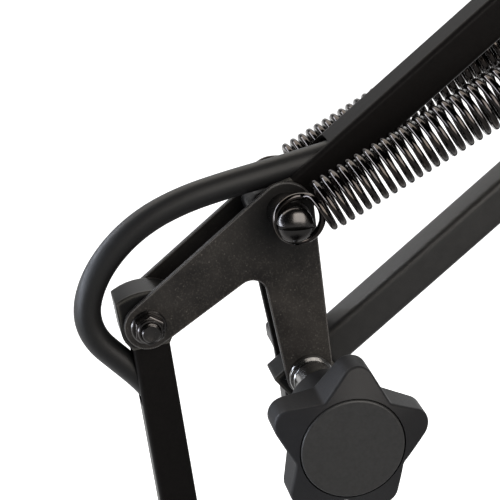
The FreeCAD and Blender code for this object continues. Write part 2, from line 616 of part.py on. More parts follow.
def biarc(start, start_way, end, end_way):
    """Two arcs from start to end that keep both directions."""
    run, both = end - start, start_way + end_way
    spread = 2 * (1 - start_way.dot(end_way))
    reach = run.dot(both)
    step = (math.sqrt(reach * reach + spread * run.dot(run)) - reach) / spread
    middle = (start + end + (start_way - end_way) * step) * 0.5
    arcs = []
    for first, last, way in ((start, middle, start_way), (middle, end, None)):
        chord = last - first
        if way is None:
            way = (chord.normalize() * (2 * end_way.dot(chord.normalize())) - end_way).normalize()
            chord = last - first
        bow = chord.getAngle(way)
        aside = (way - chord * (way.dot(chord) / chord.dot(chord))).normalize()
        top = (first + last) * 0.5 + aside * (chord.Length / 2 * math.tan(bow / 2))
        arcs.append(Part.Arc(first, top, last).toShape())
    return arcs


def spring_edges(curls):
    """Centre line of a spring: its axis along +X, the near loop round the origin in XZ."""
    radius = size("spring_outside/2 - spring_wire/2")
    pitch, lead, bend = size("spring_pitch"), size("hook_lead"), size("hook_bend")
    start_turn, end_turn = math.pi / 4, 2 * math.pi * curls - math.pi / 4
    rise = pitch / (2 * math.pi)

    def on_loop(centre, degrees):
        return polar(radius, degrees) + flat(centre, 0)

    def on_coil(turn):
        return Vector(lead + rise * (turn - start_turn), radius * math.sin(turn), -radius * math.cos(turn))

    def coil_way(turn):
        return Vector(rise, radius * math.cos(turn), radius * math.sin(turn)).normalize()

    ahead = Vector(1, 0, 0)
    far = on_coil(end_turn).x + lead
    opening = size("hook_open_deg")
    tail = polar(size("spring_wire"), opening - 90)
    near_end, far_end = on_loop(0, opening), on_loop(far, 180 - opening)
    far_tail = polar(size("spring_wire"), 270 - opening)
    edges = [Part.LineSegment(near_end + tail, near_end).toShape()]
    stops = [opening + (270 - opening) * k / 3 for k in range(4)]
    for low, high in zip(stops, stops[1:]):
        edges.append(Part.Arc(on_loop(0, low), on_loop(0, (low + high) / 2), on_loop(0, high)).toShape())
    edges.append(Part.LineSegment(on_loop(0, 270), flat(lead - bend, -radius)).toShape())
    edges += biarc(flat(lead - bend, -radius), ahead, on_coil(start_turn), coil_way(start_turn))
    halves = 2 * curls - 1
    step = (end_turn - start_turn) / halves
    for index in range(halves):
        low = start_turn + step * index
        edges += biarc(on_coil(low), coil_way(low), on_coil(low + step), coil_way(low + step))
    last = on_coil(end_turn)
    edges += biarc(last, coil_way(end_turn), flat(last.x + bend, -radius), ahead)
    edges.append(Part.LineSegment(flat(last.x + bend, -radius), on_loop(far, 270)).toShape())
    stops = [-90 + (270 - opening) * k / 3 for k in range(4)]
    for low, high in zip(stops, stops[1:]):
        edges.append(Part.Arc(on_loop(far, low), on_loop(far, (low + high) / 2), on_loop(far, high)).toShape())
    edges.append(Part.LineSegment(far_end, far_end + far_tail).toShape())
    return edges, far


def least_gap(edges, wire):
    """Smallest distance between stretches of the wire that are not neighbours along it."""
    spots, runs, run = [], [], 0.0
    for edge in edges:
        for spot in edge.discretize(5)[:-1]:
            if spots:
                run += (spot - spots[-1]).Length
            spots.append(spot)
            runs.append(run)
    apart = 4 * wire
    return min((a - b).Length for i, a in enumerate(spots) for j, b in enumerate(spots[:i])
               if runs[i] - runs[j] > apart and abs(a.x - b.x) < apart) - wire


def round_tube(edges, diameter):
    first = edges[0]
    start, way = first.valueAt(first.FirstParameter), first.tangentAt(first.FirstParameter)
    ring = Part.Wire(Part.Circle(start, way, diameter / 2).toShape())
    return Part.Wire(edges).makePipeShell([ring], True, False)


def feature(name, shape, placement=Placement()):
    piece = document.addObject("Part::Feature", name)
    piece.Label = name
    piece.Shape = shape
    piece.Placement = placement
    return piece


def spring_place(stud, anchor, side):
    """Near loop pulled against its stud, the axis pointing at the anchor."""
    way = (anchor - stud).normalize()
    slack = size("spring_outside/2 - spring_wire - stud_seat_diameter/2")
    return Placement(stud + way * slack + Vector(0, side, 0), along(way))


SPRINGS = (("upper", "upper_curl_count", ELBOW_APEX, UPPER_ANCHOR),
           ("lower", "lower_curl_count", BASE_STUD, LOWER_ANCHOR))
SPRING_PINS = {}
for section, count, stud, anchor in SPRINGS:
    edges, far_loop = spring_edges(int(size(count)))
    solid = round_tube(edges, size("spring_wire"))
    print(section, "spring: least gap", round(least_gap(edges, size("spring_wire")), 2), "mm")
    pieces = [feature(f"{section}_spring_{name}", solid.copy(), spring_place(stud, anchor, sign * SPRING_SIDE))
              for name, sign, _ in SIDES]
    for piece in pieces:
        NODES[piece.Label] = piece
    way = (anchor - stud).normalize()
    slack = size("spring_outside/2 - spring_wire - stud_seat_diameter/2")
    SPRING_PINS[section] = stud + way * (far_loop + slack + slack)


# pins in the far loops, the collars on the bars and the links between them

LINK_SEAT = "link_thickness + seat_play + seat_play"
LOOP_SEAT = "spring_wire + seat_play + seat_play"
PIN_STEPS = ("flange_thickness", f"flange_thickness + {LINK_SEAT}",
             f"flange_thickness + {LINK_SEAT} + {LOOP_SEAT}",
             f"flange_thickness + flange_thickness + {LINK_SEAT} + {LOOP_SEAT}")
LINK_SIDE = SPRING_SIDE - size(f"{LOOP_SEAT}") / 2 - size("seat_play + link_thickness/2")


def loop_pin(name, place, sign, turn):
    """Headed pin with one seat for the link and a wider one for the spring's loop."""
    piece = turned(name, [("0", "0"), ("flange_diameter/2", "0"), ("flange_diameter/2", PIN_STEPS[0]),
                          ("link_seat_diameter/2", PIN_STEPS[0]), ("link_seat_diameter/2", PIN_STEPS[1]),
                          ("stud_seat_diameter/2", PIN_STEPS[1]), ("stud_seat_diameter/2", PIN_STEPS[2]),
                          ("flange_diameter/2", PIN_STEPS[2]), ("flange_diameter/2", PIN_STEPS[3]),
                          ("0", PIN_STEPS[3])])
    start = LINK_SIDE - size(f"link_thickness/2 + seat_play + flange_thickness")
    piece.Placement = at(place, sign * start, turn)
    return piece


def link(name, start, end, sign):
    """Flat strap with a round eye at each end; the pin's eye is loose, as the spring sways."""
    body = new_body(name)
    far = sheet_point(end - start)
    strap = hull([(Vector(), size("eye_width/2")), (far, size("link_width/2"))])
    extrude(body, "Pad", "strap", "XZ_Plane", strap, "link_thickness")
    drill(body, "pin_eye", "XZ_Plane", [Vector()], "link_seat_diameter/2 + eye_play")
    drill(body, "anchor_eye", "XZ_Plane", [far], "link_seat_diameter/2 + seat_play")
    body.Placement = at(start, sign * LINK_SIDE)
    return body


def cylinder(name, radius, length):
    """Cylinder along Y, centred on the arm's plane."""
    piece = document.addObject("Part::Cylinder", name)
    piece.setExpression("Radius", formula(radius))
    piece.setExpression("Height", formula(length))
    piece.Placement = Placement(Vector(0, -size(length) / 2, 0), REAR)
    return piece


def block(name, sides, low):
    piece = document.addObject("Part::Box", name)
    for axis, text in zip(("Length", "Width", "Height"), sides):
        piece.setExpression(axis, formula(text))
    piece.Placement = Placement(Vector(*low), Rotation())
    return piece


def anchor_collar(name, place, direction, side=0.0):
    """Square collar round a bar, with a headed stud on each side for the links."""
    reach = 2 * LINK_SIDE
    lane = size("link_thickness/2 + seat_play")
    inner = f"{name}_inner"
    outer_length = "collar_side"
    half = size("collar_side/2")
    length = size("collar_length")
    ring = block(f"{name}_ring", ("collar_length", outer_length, outer_length), (-length / 2, -half, -half))
    wide = "plate_gap + plate_thickness + plate_thickness + spring_standoff + spring_standoff"
    wide += " - spring_wire - seat_play - seat_play - seat_play - seat_play"
    seats = f"{wide} - link_thickness - link_thickness - seat_play - seat_play"
    spacers = cylinder(f"{name}_spacers", "collar_spacer/2", f"{seats} - seat_play - seat_play")
    pins = cylinder(f"{name}_pins", "link_seat_diameter/2", f"{wide} + seat_play + seat_play")
    heads = [cylinder(f"{name}_head_{end}", "flange_diameter/2", "flange_thickness") for end, _, _ in SIDES]
    for head, (_, sign, _) in zip(heads, SIDES):
        head.Placement.Base.y += sign * (reach / 2 + lane + size("flange_thickness/2"))
    bore = block(inner, ("collar_length + overrun + overrun", "tube_side + fit_gap + fit_gap",
                         "tube_side + fit_gap + fit_gap"),
                 (-length / 2 - size("overrun"), -size("tube_side/2 + fit_gap"), -size("tube_side/2 + fit_gap")))
    whole = document.addObject("Part::MultiFuse", f"{name}_whole")
    whole.Shapes = [ring, spacers, pins] + heads
    cut = document.addObject("Part::Cut", name)
    cut.Label = name
    cut.Base = whole
    cut.Tool = bore
    keep(cut, at(place, side, along(direction)))


for section, _, _, anchor in SPRINGS:
    pin = SPRING_PINS[section]
    group(f"{section}_spring_pins", [loop_pin(f"{section}_pin_{name}", pin, sign, turn)
                                     for name, sign, turn in SIDES])
    group(f"{section}_spring_links", [link(f"{section}_link_{name}", pin, anchor, sign)
                                      for name, sign, _ in SIDES])
anchor_collar("upper_anchor_collar", UPPER_ANCHOR, UPPER)
anchor_collar("lower_anchor_collar", LOWER_ANCHOR, LOWER)


# knobs: lobed grips on a hub

def star(name):
    """Outline of straight-sided lobes and tight notches, the first lobe near +Y of the sketch."""
    count = int(size("knob_lobe_count"))
    lobe, notch = size(f"{name}_lobe_radius"), size(f"{name}_notch_radius")
    circles = []
    for index in range(count):
        angle = size("knob_turn_deg") + 90 + 360 * index / count
        circles.append((sheet_point(polar(size(f"{name}_radius") - lobe, angle)), lobe))
        circles.append((sheet_point(polar(size(f"{name}_valley_radius") + notch, angle + 180 / count)), -notch))
    return hull(circles)


def grip(name, sizes, hub, bore, bore_depth, shoulder=None):
    """Knob with its hub from the origin along +Z and its lobed grip at the far end."""
    body = turned(name, hub)
    thickness = f"{sizes}_thickness"
    top = size(hub[-1][1])
    low = top - size(thickness)
    sketch = new_sketch(body, "XY_Plane", "grip_sketch")
    sketch.AttachmentOffset = Placement(Vector(0, 0, low), Rotation())
    sketch.addGeometry(star(sizes), False)
    pad = body.newObject("PartDesign::Pad", f"{name}_grip")
    pad.Profile = sketch
    pad.setExpression("Length", formula(thickness))
    if shoulder:
        turned(name, shoulder, "PartDesign::Groove", body)
    document.recompute()
    inside = size(hub[-2][0]) + size("fit_gap")

    def rim(edge):
        box = edge.BoundBox
        reach = max(math.hypot(v.Point.x, v.Point.y) for v in edge.Vertexes)
        level = box.ZMax - box.ZMin < size("fit_gap") and abs(box.ZMin - low) < size("fit_gap")
        sloped = box.ZMin > (low + top) / 2
        return not edge.Closed and reach > inside and (level or sloped)
    soften(body, f"{sizes}_round", rim)
    hole = new_sketch(body, "XY_Plane", "bore_sketch")
    hole.addGeometry(Part.Circle(Vector(), Vector(0, 0, 1), size(bore)), False)
    pocket = body.newObject("PartDesign::Pocket", f"{name}_bore")
    pocket.Profile = hole
    pocket.Reversed = True
    pocket.setExpression("Length", formula(bore_depth))
    document.recompute()
    return body


KNOB_LENGTH = "knob_hub_length + knob_thickness"
KNOB_RIM = "knob_cap_radius + knob_cap_gap"
knob_hub = [("0", "0"), ("knob_hub_radius", "0"), ("knob_root_radius", "knob_hub_length"),
            ("knob_root_radius", KNOB_LENGTH), ("0", KNOB_LENGTH)]
knob_shoulder = [(KNOB_RIM, KNOB_LENGTH), ("knob_radius + overrun", f"{KNOB_LENGTH} - knob_shoulder"),
                 ("knob_radius + overrun", f"{KNOB_LENGTH} + overrun"), (KNOB_RIM, f"{KNOB_LENGTH} + overrun")]
elbow_knob = grip("elbow_knob", "knob", knob_hub, KNOB_BOLT_HOLE, "knob_bolt_bite + overrun", knob_shoulder)
recess_sketch = new_sketch(elbow_knob, "XY_Plane", "recess_sketch")
recess_sketch.AttachmentOffset = Placement(Vector(0, 0, size(f"{KNOB_LENGTH} - knob_recess")), Rotation())
recess_sketch.addGeometry([Part.Circle(Vector(), Vector(0, 0, 1), size(KNOB_RIM))], False)
recess_cut = elbow_knob.newObject("PartDesign::Pocket", "elbow_knob_recess")
recess_cut.Profile = recess_sketch
recess_cut.Reversed = True
recess_cut.setExpression("Length", formula("knob_recess + overrun"))
knob_start = PLATE_FACE + size("knob_collar_thickness + knob_sleeve_length + side_play")
keep(elbow_knob, at(ELBOW_KNOB, -knob_start, FRONT))
cap = turned("elbow_knob_cap", [("0", "0"), ("knob_cap_radius", "0"), ("knob_cap_radius", "knob_cap_thickness"),
                                ("0", "knob_cap_thickness")])
soften(cap, "knob_cap_round", ring_at(size("knob_cap_thickness"), size("knob_cap_radius")))
keep(cap, at(ELBOW_KNOB, -knob_start - size(f"{KNOB_LENGTH} - knob_recess"), FRONT))
SLEEVE_END = "knob_collar_thickness + knob_sleeve_length"
keep(turned("elbow_knob_collar", [(KNOB_BOLT_HOLE, "0"), ("knob_collar_radius", "0"),
                                  ("knob_collar_radius", "knob_collar_thickness"),
                                  ("knob_sleeve_radius", "knob_collar_thickness"),
                                  ("knob_sleeve_radius", SLEEVE_END), (KNOB_BOLT_HOLE, SLEEVE_END)]),
     at(ELBOW_KNOB, -PLATE_FACE, FRONT))

HEAD_KNOB_LENGTH = "head_knob_hub + head_knob_thickness"
head_hub = [("0", "0"), ("head_knob_hub_radius", "0"), ("head_knob_hub_radius", HEAD_KNOB_LENGTH),
            ("0", HEAD_KNOB_LENGTH)]
keep(grip("head_knob", "head_knob", head_hub, BOLT_HOLE, "head_knob_hub + overrun"),
     at(HEAD_EYE, -PLATE_FACE - size("washer_thickness + side_play"), FRONT))


# microphone head: an eye on the head's pivot and the threaded stud

mic_way = polar(1, size("mic_rest_deg"))
eye = new_body("mic_knuckle")
eye_radius, neck = size("head_eye_radius"), size("mic_neck")
neck_half = size("mic_neck_half")
extrude(eye, "Pad", "eye", "XZ_Plane", [Part.Circle(Vector(), Vector(0, 0, 1), eye_radius)], "tube_side")
neck_outline = [(0.0, -neck_half, 0), (neck, -neck_half, 0), (neck, neck_half, 0), (0.0, neck_half, 0)]
extrude(eye, "Pad", "neck", "XZ_Plane", rounded(neck_outline), "tube_side")
drill(eye, "pivot", "XZ_Plane", [Vector()], "bush_diameter/2 + fit_gap")
keep(eye, at(HEAD_EYE, 0.0, along(mic_way)))
MIC_TOP = "mic_flange_height + mic_thread_length"
thread = turned("mic_stud", [("mic_bore_radius", "0"), ("mic_flange_radius", "0"),
                             ("mic_flange_radius", "mic_flange_height"), ("mic_thread_radius", "mic_flange_height"),
                             ("mic_thread_radius", f"{MIC_TOP} - mic_thread_lead"),
                             ("mic_thread_radius - mic_thread_lead", MIC_TOP), ("mic_bore_radius", MIC_TOP)])
keep(thread, Placement(HEAD_EYE + mic_way * neck, along(mic_way) * Rotation(Vector(0, 1, 0), 90)))


# base yoke: block between the plates, and the spigot that swivels in the clamp

yoke = new_body("base_block")
block_half = size("base_foot_half + base_foot_radius")
block_top = size("base_pivot_rise - bush_diameter/2 - block_gap")
block_outline = [(-block_half, 0.0), (block_half, 0.0), (block_half, block_top), (-block_half, block_top)]
extrude(yoke, "Pad", "block", "XZ_Plane", rounded([(x, z, size("base_foot_radius") if z else 0)
                                                  for x, z in block_outline]), "plate_gap")
keep(yoke, Placement(Vector(0, 0, FOOT), Rotation()))
spigot = turned("base_spigot", [("0", "0"), ("spigot_radius", "0"), ("spigot_radius", "spigot_length"),
                                ("flange_radius", "spigot_length"),
                                ("flange_radius", "spigot_length + flange_height"),
                                ("0", "spigot_length + flange_height")])
keep(spigot, Placement(Vector(0, 0, FOOT - size("flange_height + spigot_length")), Rotation()))


# desk clamp

def socket_bore(radius, name):
    """Cylinder from the socket's floor upwards."""
    piece = document.addObject("Part::Cylinder", name)
    piece.setExpression("Radius", formula(radius))
    piece.setExpression("Height", formula("socket_height + jaw_thickness - socket_floor + overrun"))
    piece.Placement.Base = Vector(0, 0, size("jaw_pad + socket_floor"))
    return piece


frame = new_body("clamp_profile")
top, under = size("jaw_pad + jaw_thickness"), size("jaw_pad")
back, inner_back = -size("spine_back"), -size("spine_back - spine_thickness")
low_top, low = -size("lower_jaw_drop"), -size("lower_jaw_drop + lower_jaw_thickness")
corner, inside, tip = size("clamp_corner"), size("clamp_inner_corner"), size("clamp_tip")
profile = [(back, low, corner), (size("lower_jaw_reach"), low, tip), (size("lower_jaw_reach"), low_top, tip),
           (inner_back, low_top, inside), (inner_back, under, inside), (size("jaw_reach"), under, tip),
           (size("jaw_reach"), top, tip), (back, top, corner)]
extrude(frame, "Pad", "profile", "XZ_Plane", rounded(profile), "clamp_width")


def upright(name, radius, length, x, z):
    piece = document.addObject("Part::Cylinder", name)
    piece.setExpression("Radius", formula(radius))
    piece.setExpression("Height", formula(length))
    piece.Placement.Base = Vector(x, 0, z)
    return piece


SCREW_X = size("screw_reach")
thumb_z = size("jaw_pad + jaw_thickness + thumb_height")
boss = upright("clamp_socket", "socket_radius", "socket_height", 0, top)
screw_boss = upright("clamp_screw_boss", "screw_boss_radius", "screw_boss_drop + lower_jaw_thickness", SCREW_X,
                     low - size("screw_boss_drop"))
clamp_solid = document.addObject("Part::MultiFuse", "clamp_solid")
clamp_solid.Shapes = [frame, boss, screw_boss]
thread_hole = upright("clamp_thread_hole", "screw_rod_radius + fit_gap + fit_gap",
                      "screw_boss_drop + lower_jaw_thickness + overrun + overrun", SCREW_X,
                      low - size("screw_boss_drop + overrun"))
thumb_hole = document.addObject("Part::Cylinder", "clamp_thumb_hole")
thumb_hole.setExpression("Radius", formula("thumb_radius + fit_gap"))
thumb_hole.setExpression("Height", formula("socket_radius + overrun"))
thumb_hole.Placement = Placement(Vector(0, 0, thumb_z), FRONT)
cuts = document.addObject("Part::MultiFuse", "clamp_cuts")
cuts.Shapes = [socket_bore("spigot_radius + fit_gap + bush_wall + fit_gap", "clamp_socket_bore"), thread_hole,
               thumb_hole]
clamp = document.addObject("Part::Cut", "clamp_frame")
clamp.Label = "clamp_frame"
clamp.Base, clamp.Tool = clamp_solid, cuts
NODES["clamp_frame"] = clamp

BUSH_IN, BUSH_OUT = "spigot_radius + fit_gap", "spigot_radius + fit_gap + bush_wall"
BUSH_LENGTH = "socket_height + jaw_thickness - socket_floor"
liner = turned("socket_bush", [(BUSH_IN, "0"), (BUSH_OUT, "0"), (BUSH_OUT, BUSH_LENGTH),
                               ("socket_radius", BUSH_LENGTH), ("socket_radius", f"{BUSH_LENGTH} + bush_flange"),
                               (BUSH_IN, f"{BUSH_LENGTH} + bush_flange")])
liner_hole = new_sketch(liner, "XZ_Plane", "thumb_sketch")
liner_hole.addGeometry(Part.Circle(Vector(0, thumb_z - size("jaw_pad + socket_floor"), 0), Vector(0, 0, 1),
                                   size("thumb_radius + fit_gap")), False)
liner_cut = liner.newObject("PartDesign::Pocket", "socket_bush_thumb")
liner_cut.Profile = liner_hole
liner_cut.Reversed = True
liner_cut.setExpression("Length", formula("socket_radius"))
keep(liner, Placement(Vector(0, 0, size("jaw_pad + socket_floor")), Rotation()))

pad_outline = [(inner_back + inside, -1), (size("jaw_reach - jaw_pad_inset"), -1),
               (size("jaw_reach - jaw_pad_inset"), 1), (inner_back + inside, 1)]
pad_half = size("clamp_width/2 - jaw_pad_inset")
jaw_pad = new_body("upper_jaw_pad")
extrude(jaw_pad, "Pad", "sheet", "XY_Plane", rounded([(x, y * pad_half, tip) for x, y in pad_outline]), "jaw_pad",
        "One side")
keep(jaw_pad, Placement())

thumb_start = size("spigot_radius + tip_gap")
THUMB_SHANK = "socket_radius - spigot_radius - tip_gap + thumb_neck"
thumb = turned("socket_thumbscrew", [("0", "0"), ("thumb_radius", "0"), ("thumb_radius", THUMB_SHANK),
                                     ("thumb_head_radius", THUMB_SHANK),
                                     ("thumb_head_radius", f"{THUMB_SHANK} + thumb_head_length"),
                                     ("0", f"{THUMB_SHANK} + thumb_head_length")])
thumb_low = size(THUMB_SHANK)
thumb_high = size(f"{THUMB_SHANK} + thumb_head_length + overrun")
for sign in (-1, 1):
    near, wide = size("thumb_flat/2"), size("thumb_head_radius + overrun")
    sides = sorted((sign * near, sign * wide))
    extrude(thumb, "Pocket", f"wing_{sign + 1}", "XZ_Plane",
            rounded([(sides[0], thumb_low + size("thumb_flat/2"), 0), (sides[1], thumb_low + size("thumb_flat/2"), 0),
                     (sides[1], thumb_high, 0), (sides[0], thumb_high, 0)]), None)
keep(thumb, Placement(Vector(0, -thumb_start, thumb_z), FRONT))

pad_top = -size("jaw_opening")
disc_low = pad_top - size("pad_rubber + pad_height")
CUP = "screw_rod_radius + fit_gap"
disc = turned("clamp_pad", [("0", "pad_cup"), (CUP, "pad_cup"), (CUP, "0"), ("pad_radius", "0"),
                            ("pad_radius", "pad_height"), ("0", "pad_height")])
keep(disc, Placement(Vector(SCREW_X, 0, disc_low), Rotation()))
keep(turned("lower_jaw_pad", [("0", "0"), ("pad_radius", "0"), ("pad_radius", "pad_rubber"), ("0", "pad_rubber")]),
     Placement(Vector(SCREW_X, 0, disc_low + size("pad_height")), Rotation()))

ROD = "screw_head_length + screw_rod_length"
rod_low = disc_low + size("pad_cup - seat_play") - size(ROD)
rod = turned("clamp_screw", [("0", "0"), ("screw_head_radius", "0"), ("screw_head_radius", "screw_head_length"),
                             ("screw_rod_radius", "screw_head_length"), ("screw_rod_radius", ROD), ("0", ROD)])
tommy_z = size("screw_head_length/2")
TOMMY_HOLE = "tommy_radius + fit_gap"
drill(rod, "tommy", "XZ_Plane", [Vector(0, tommy_z, 0)], TOMMY_HOLE)
keep(rod, Placement(Vector(SCREW_X, 0, rod_low), Rotation()))
tommy = turned("tommy_bar", [("0", "0"), ("tommy_radius", "0"), ("tommy_radius", "tommy_length"),
                             ("0", "tommy_length")])
keep(tommy, Placement(Vector(SCREW_X, -size("tommy_length/2"), rod_low + tommy_z), REAR))
caps = []
for name, sign, turn in SIDES:
    piece = turned(f"tommy_cap_{name}", [(TOMMY_HOLE, "0"), ("tommy_cap_radius", "0"),
                                         ("tommy_cap_radius", "tommy_cap_length"), ("0", "tommy_cap_length"),
                                         ("0", "tommy_cap_length/2"), (TOMMY_HOLE, "tommy_cap_length/2")])
    piece.Placement = Placement(Vector(SCREW_X, sign * size("tommy_length/2 - tommy_cap_length/2"),
                                       rod_low + tommy_z), turn)
    caps.append(piece)
group("tommy_bar_caps", caps)


# microphone cable: through the lower bar, round the elbow in a free loop, through the upper bar

def beside(pivot, direction, distance, aside):
    """Point a distance along a bar from its pivot, and aside on the bar's slotted face."""
    return pivot + direction * distance + flat(-direction.z, direction.x) * aside


corner_share = 0.45


def cord_runs(points):
    """Straight runs joined by tangent arcs as large as the runs allow, and the least radius."""
    edges, start, least = [], points[0], None
    for before, spot, after in zip(points, points[1:], points[2:]):
        back, onward = before - spot, after - spot
        reach = corner_share * min(back.Length, onward.Length)
        half = back.getAngle(onward) / 2
        radius = reach * math.tan(half)
        enter, leave = spot + back.normalize() * reach, spot + onward.normalize() * reach
        inward = (back + onward).normalize() * (radius / math.sin(half) - radius)
        edges.append(Part.LineSegment(start, enter).toShape())
        edges.append(Part.Arc(enter, spot + inward, leave).toShape())
        start = leave
        least = radius if least is None else min(least, radius)
    edges.append(Part.LineSegment(start, points[-1]).toShape())
    return edges, least


def cable(name, edges, least):
    section = math.pi * size("cable_diameter") ** 2 / 4
    solid = round_tube(edges, size("cable_diameter"))
    ratio = solid.Volume / (section * sum(edge.Length for edge in edges))
    print(name, "least radius", round(least, 1), "mm, volume ratio", round(ratio, 4))
    NODES[name] = feature(name, solid)


def steps(shares):
    """Points of a route table, in shares of the route's step."""
    return [[share * size("route_step") for share in spot] for spot in shares]


LOWER_INSIDE_SHARES = ((6.2, 0.0), (4.3, 0.0), (3.3, -0.02), (2.42, -0.035), (1.74, 0.31))
UPPER_INSIDE_SHARES = ((6.4, 0.0), (4.3, 0.0), (3.1, -0.02), (2.06, -0.035), (1.36, 0.29))
LOOP_SHARES = ((-4.25, -4.065), (-4.905, -3.425), (-5.135, -2.65), (-4.895, -1.75), (-4.32, -0.9),
               (-3.515, -0.215), (-2.53, 0.255), (-1.435, 0.565), (-0.3, 0.83))
loop_split_count = 7
down_side = [beside(ELBOW_LEFT, LOWER, -a, p) for a, p in steps(LOWER_INSIDE_SHARES)]
up_side = [beside(ELBOW_APEX, UPPER, a, p) for a, p in steps(UPPER_INSIDE_SHARES)]
route = down_side + [ELBOW_APEX + flat(x, z) for x, z in steps(LOOP_SHARES)] + up_side[::-1]
edges, least = cord_runs(route)
half_run = edges[2 * loop_split_count]
middle = (half_run.Vertexes[0].Point + half_run.Vertexes[1].Point) * 0.5
first_half = edges[:2 * loop_split_count] + [Part.LineSegment(half_run.Vertexes[0].Point, middle).toShape()]
second_half = [Part.LineSegment(middle, half_run.Vertexes[1].Point).toShape()] + edges[2 * loop_split_count + 1:]
cable("cable_loop_lower", first_half, least)
cable("cable_loop_upper", second_half, least)

# leads inside the bars, then tails out of the bars' far slots, one to each connector
BASE_TAIL_SHARES = ((-0.994, 0.96), (-1.42, 0.34), (-1.9, -0.5), (-2.32, -1.65), (-2.6, -3.2), (-2.76, -5.7),
                    (-2.8, -9.2), (-2.8, -13.0))
MIC_TAIL_SHARES = ((-0.9, 0.0, 0.69), (-0.6, 0.4, 2.2), (0.25, 1.1, 3.8), (1.8, 1.9, 4.8), (3.8, 2.45, 4.65),
                   (5.4, 2.65, 3.4), (6.2, 2.7, 1.6), (6.42, 2.7, -0.6), (6.42, 2.7, -2.8))
base_route = [beside(BASE_MAIN, LOWER, a, p) for a, p in steps(LOWER_INSIDE_SHARES)]
base_route += [BASE_MAIN + flat(x, z) for x, z in steps(BASE_TAIL_SHARES)]
mic_route = [beside(HEAD_TOP, UPPER, -a, p) for a, p in steps(UPPER_INSIDE_SHARES)]
mic_route += [HEAD_TOP + Vector(*spot) for spot in steps(MIC_TAIL_SHARES)]
for name, start, end in (("base_lead", down_side[0], base_route[0]), ("mic_lead", up_side[0], mic_route[0])):
    NODES[name] = feature(name, round_tube([Part.LineSegment(start, end).toShape()], size("cable_diameter")))
cable("base_tail", *cord_runs(base_route))
cable("mic_tail", *cord_runs(mic_route))


def connector(name, end, pins):
    """Barrel with a tapered boot, hanging from the end of a lead; pins stand in the barrel's mouth."""
    total = "boot_length + plug_neck + plug_length"
    body = turned(name, [("0", "0"), ("boot_tip_radius", "0"), ("boot_radius", "boot_length"),
                         ("plug_radius", "boot_length + plug_neck"), ("plug_radius", f"{total} - plug_rim"),
                         ("plug_radius - plug_rim", total), ("plug_bore_radius", total),
                         ("plug_bore_radius", f"{total} - plug_bore_depth"), ("0", f"{total} - plug_bore_depth")])
    if pins:
        sketch = new_sketch(body, "XY_Plane", "pin_sketch")
        sketch.AttachmentOffset = Placement(Vector(0, 0, size(f"{total} - plug_bore_depth - plug_rim")), Rotation())
        count = int(size("plug_pin_count"))
        for index in range(count):
            angle = 2 * math.pi * index / count
            spot = Vector(math.cos(angle), math.sin(angle), 0) * size("pin_circle")
            sketch.addGeometry(Part.Circle(spot, Vector(0, 0, 1), size("pin_radius")), False)
        pad = body.newObject("PartDesign::Pad", f"{name}_pins")
        pad.Profile = sketch
        pad.setExpression("Length", formula("pin_length + plug_rim"))
    keep(body, Placement(end, Rotation(Vector(1, 0, 0), 180)))


connector("base_plug", base_route[-1], True)
connector("mic_socket", mic_route[-1], False)


# checking and writing

document.recompute()
failed = [item.Name for item in document.Objects if "Invalid" in item.State or "Error" in item.State]
assert not failed, failed
for name, item in NODES.items():
    assert not item.Shape.isNull() and item.Shape.isValid(), name
os.makedirs("parts", exist_ok=True)
for name, item in NODES.items():
    item.Shape.exportStep(f"parts/{name}.step")
print(len(NODES), "nodes,", sum(len(item.Shape.Solids) for item in NODES.values()), "solids")
for label, spot in (("base_main", BASE_MAIN), ("base_second", BASE_SECOND), ("base_stud", BASE_STUD),
                    ("elbow_left", ELBOW_LEFT), ("elbow_apex", ELBOW_APEX), ("elbow_knob", ELBOW_KNOB),
                    ("head_top", HEAD_TOP), ("head_second", HEAD_SECOND), ("head_eye", HEAD_EYE),
                    ("upper_anchor", UPPER_ANCHOR), ("lower_anchor", LOWER_ANCHOR),
                    ("upper_pin", SPRING_PINS["upper"]), ("lower_pin", SPRING_PINS["lower"])):
    print(label, round(spot.x, 3), round(spot.z, 3))
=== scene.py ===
import json
import math

import bmesh
import bpy
from mathutils import Matrix, Vector


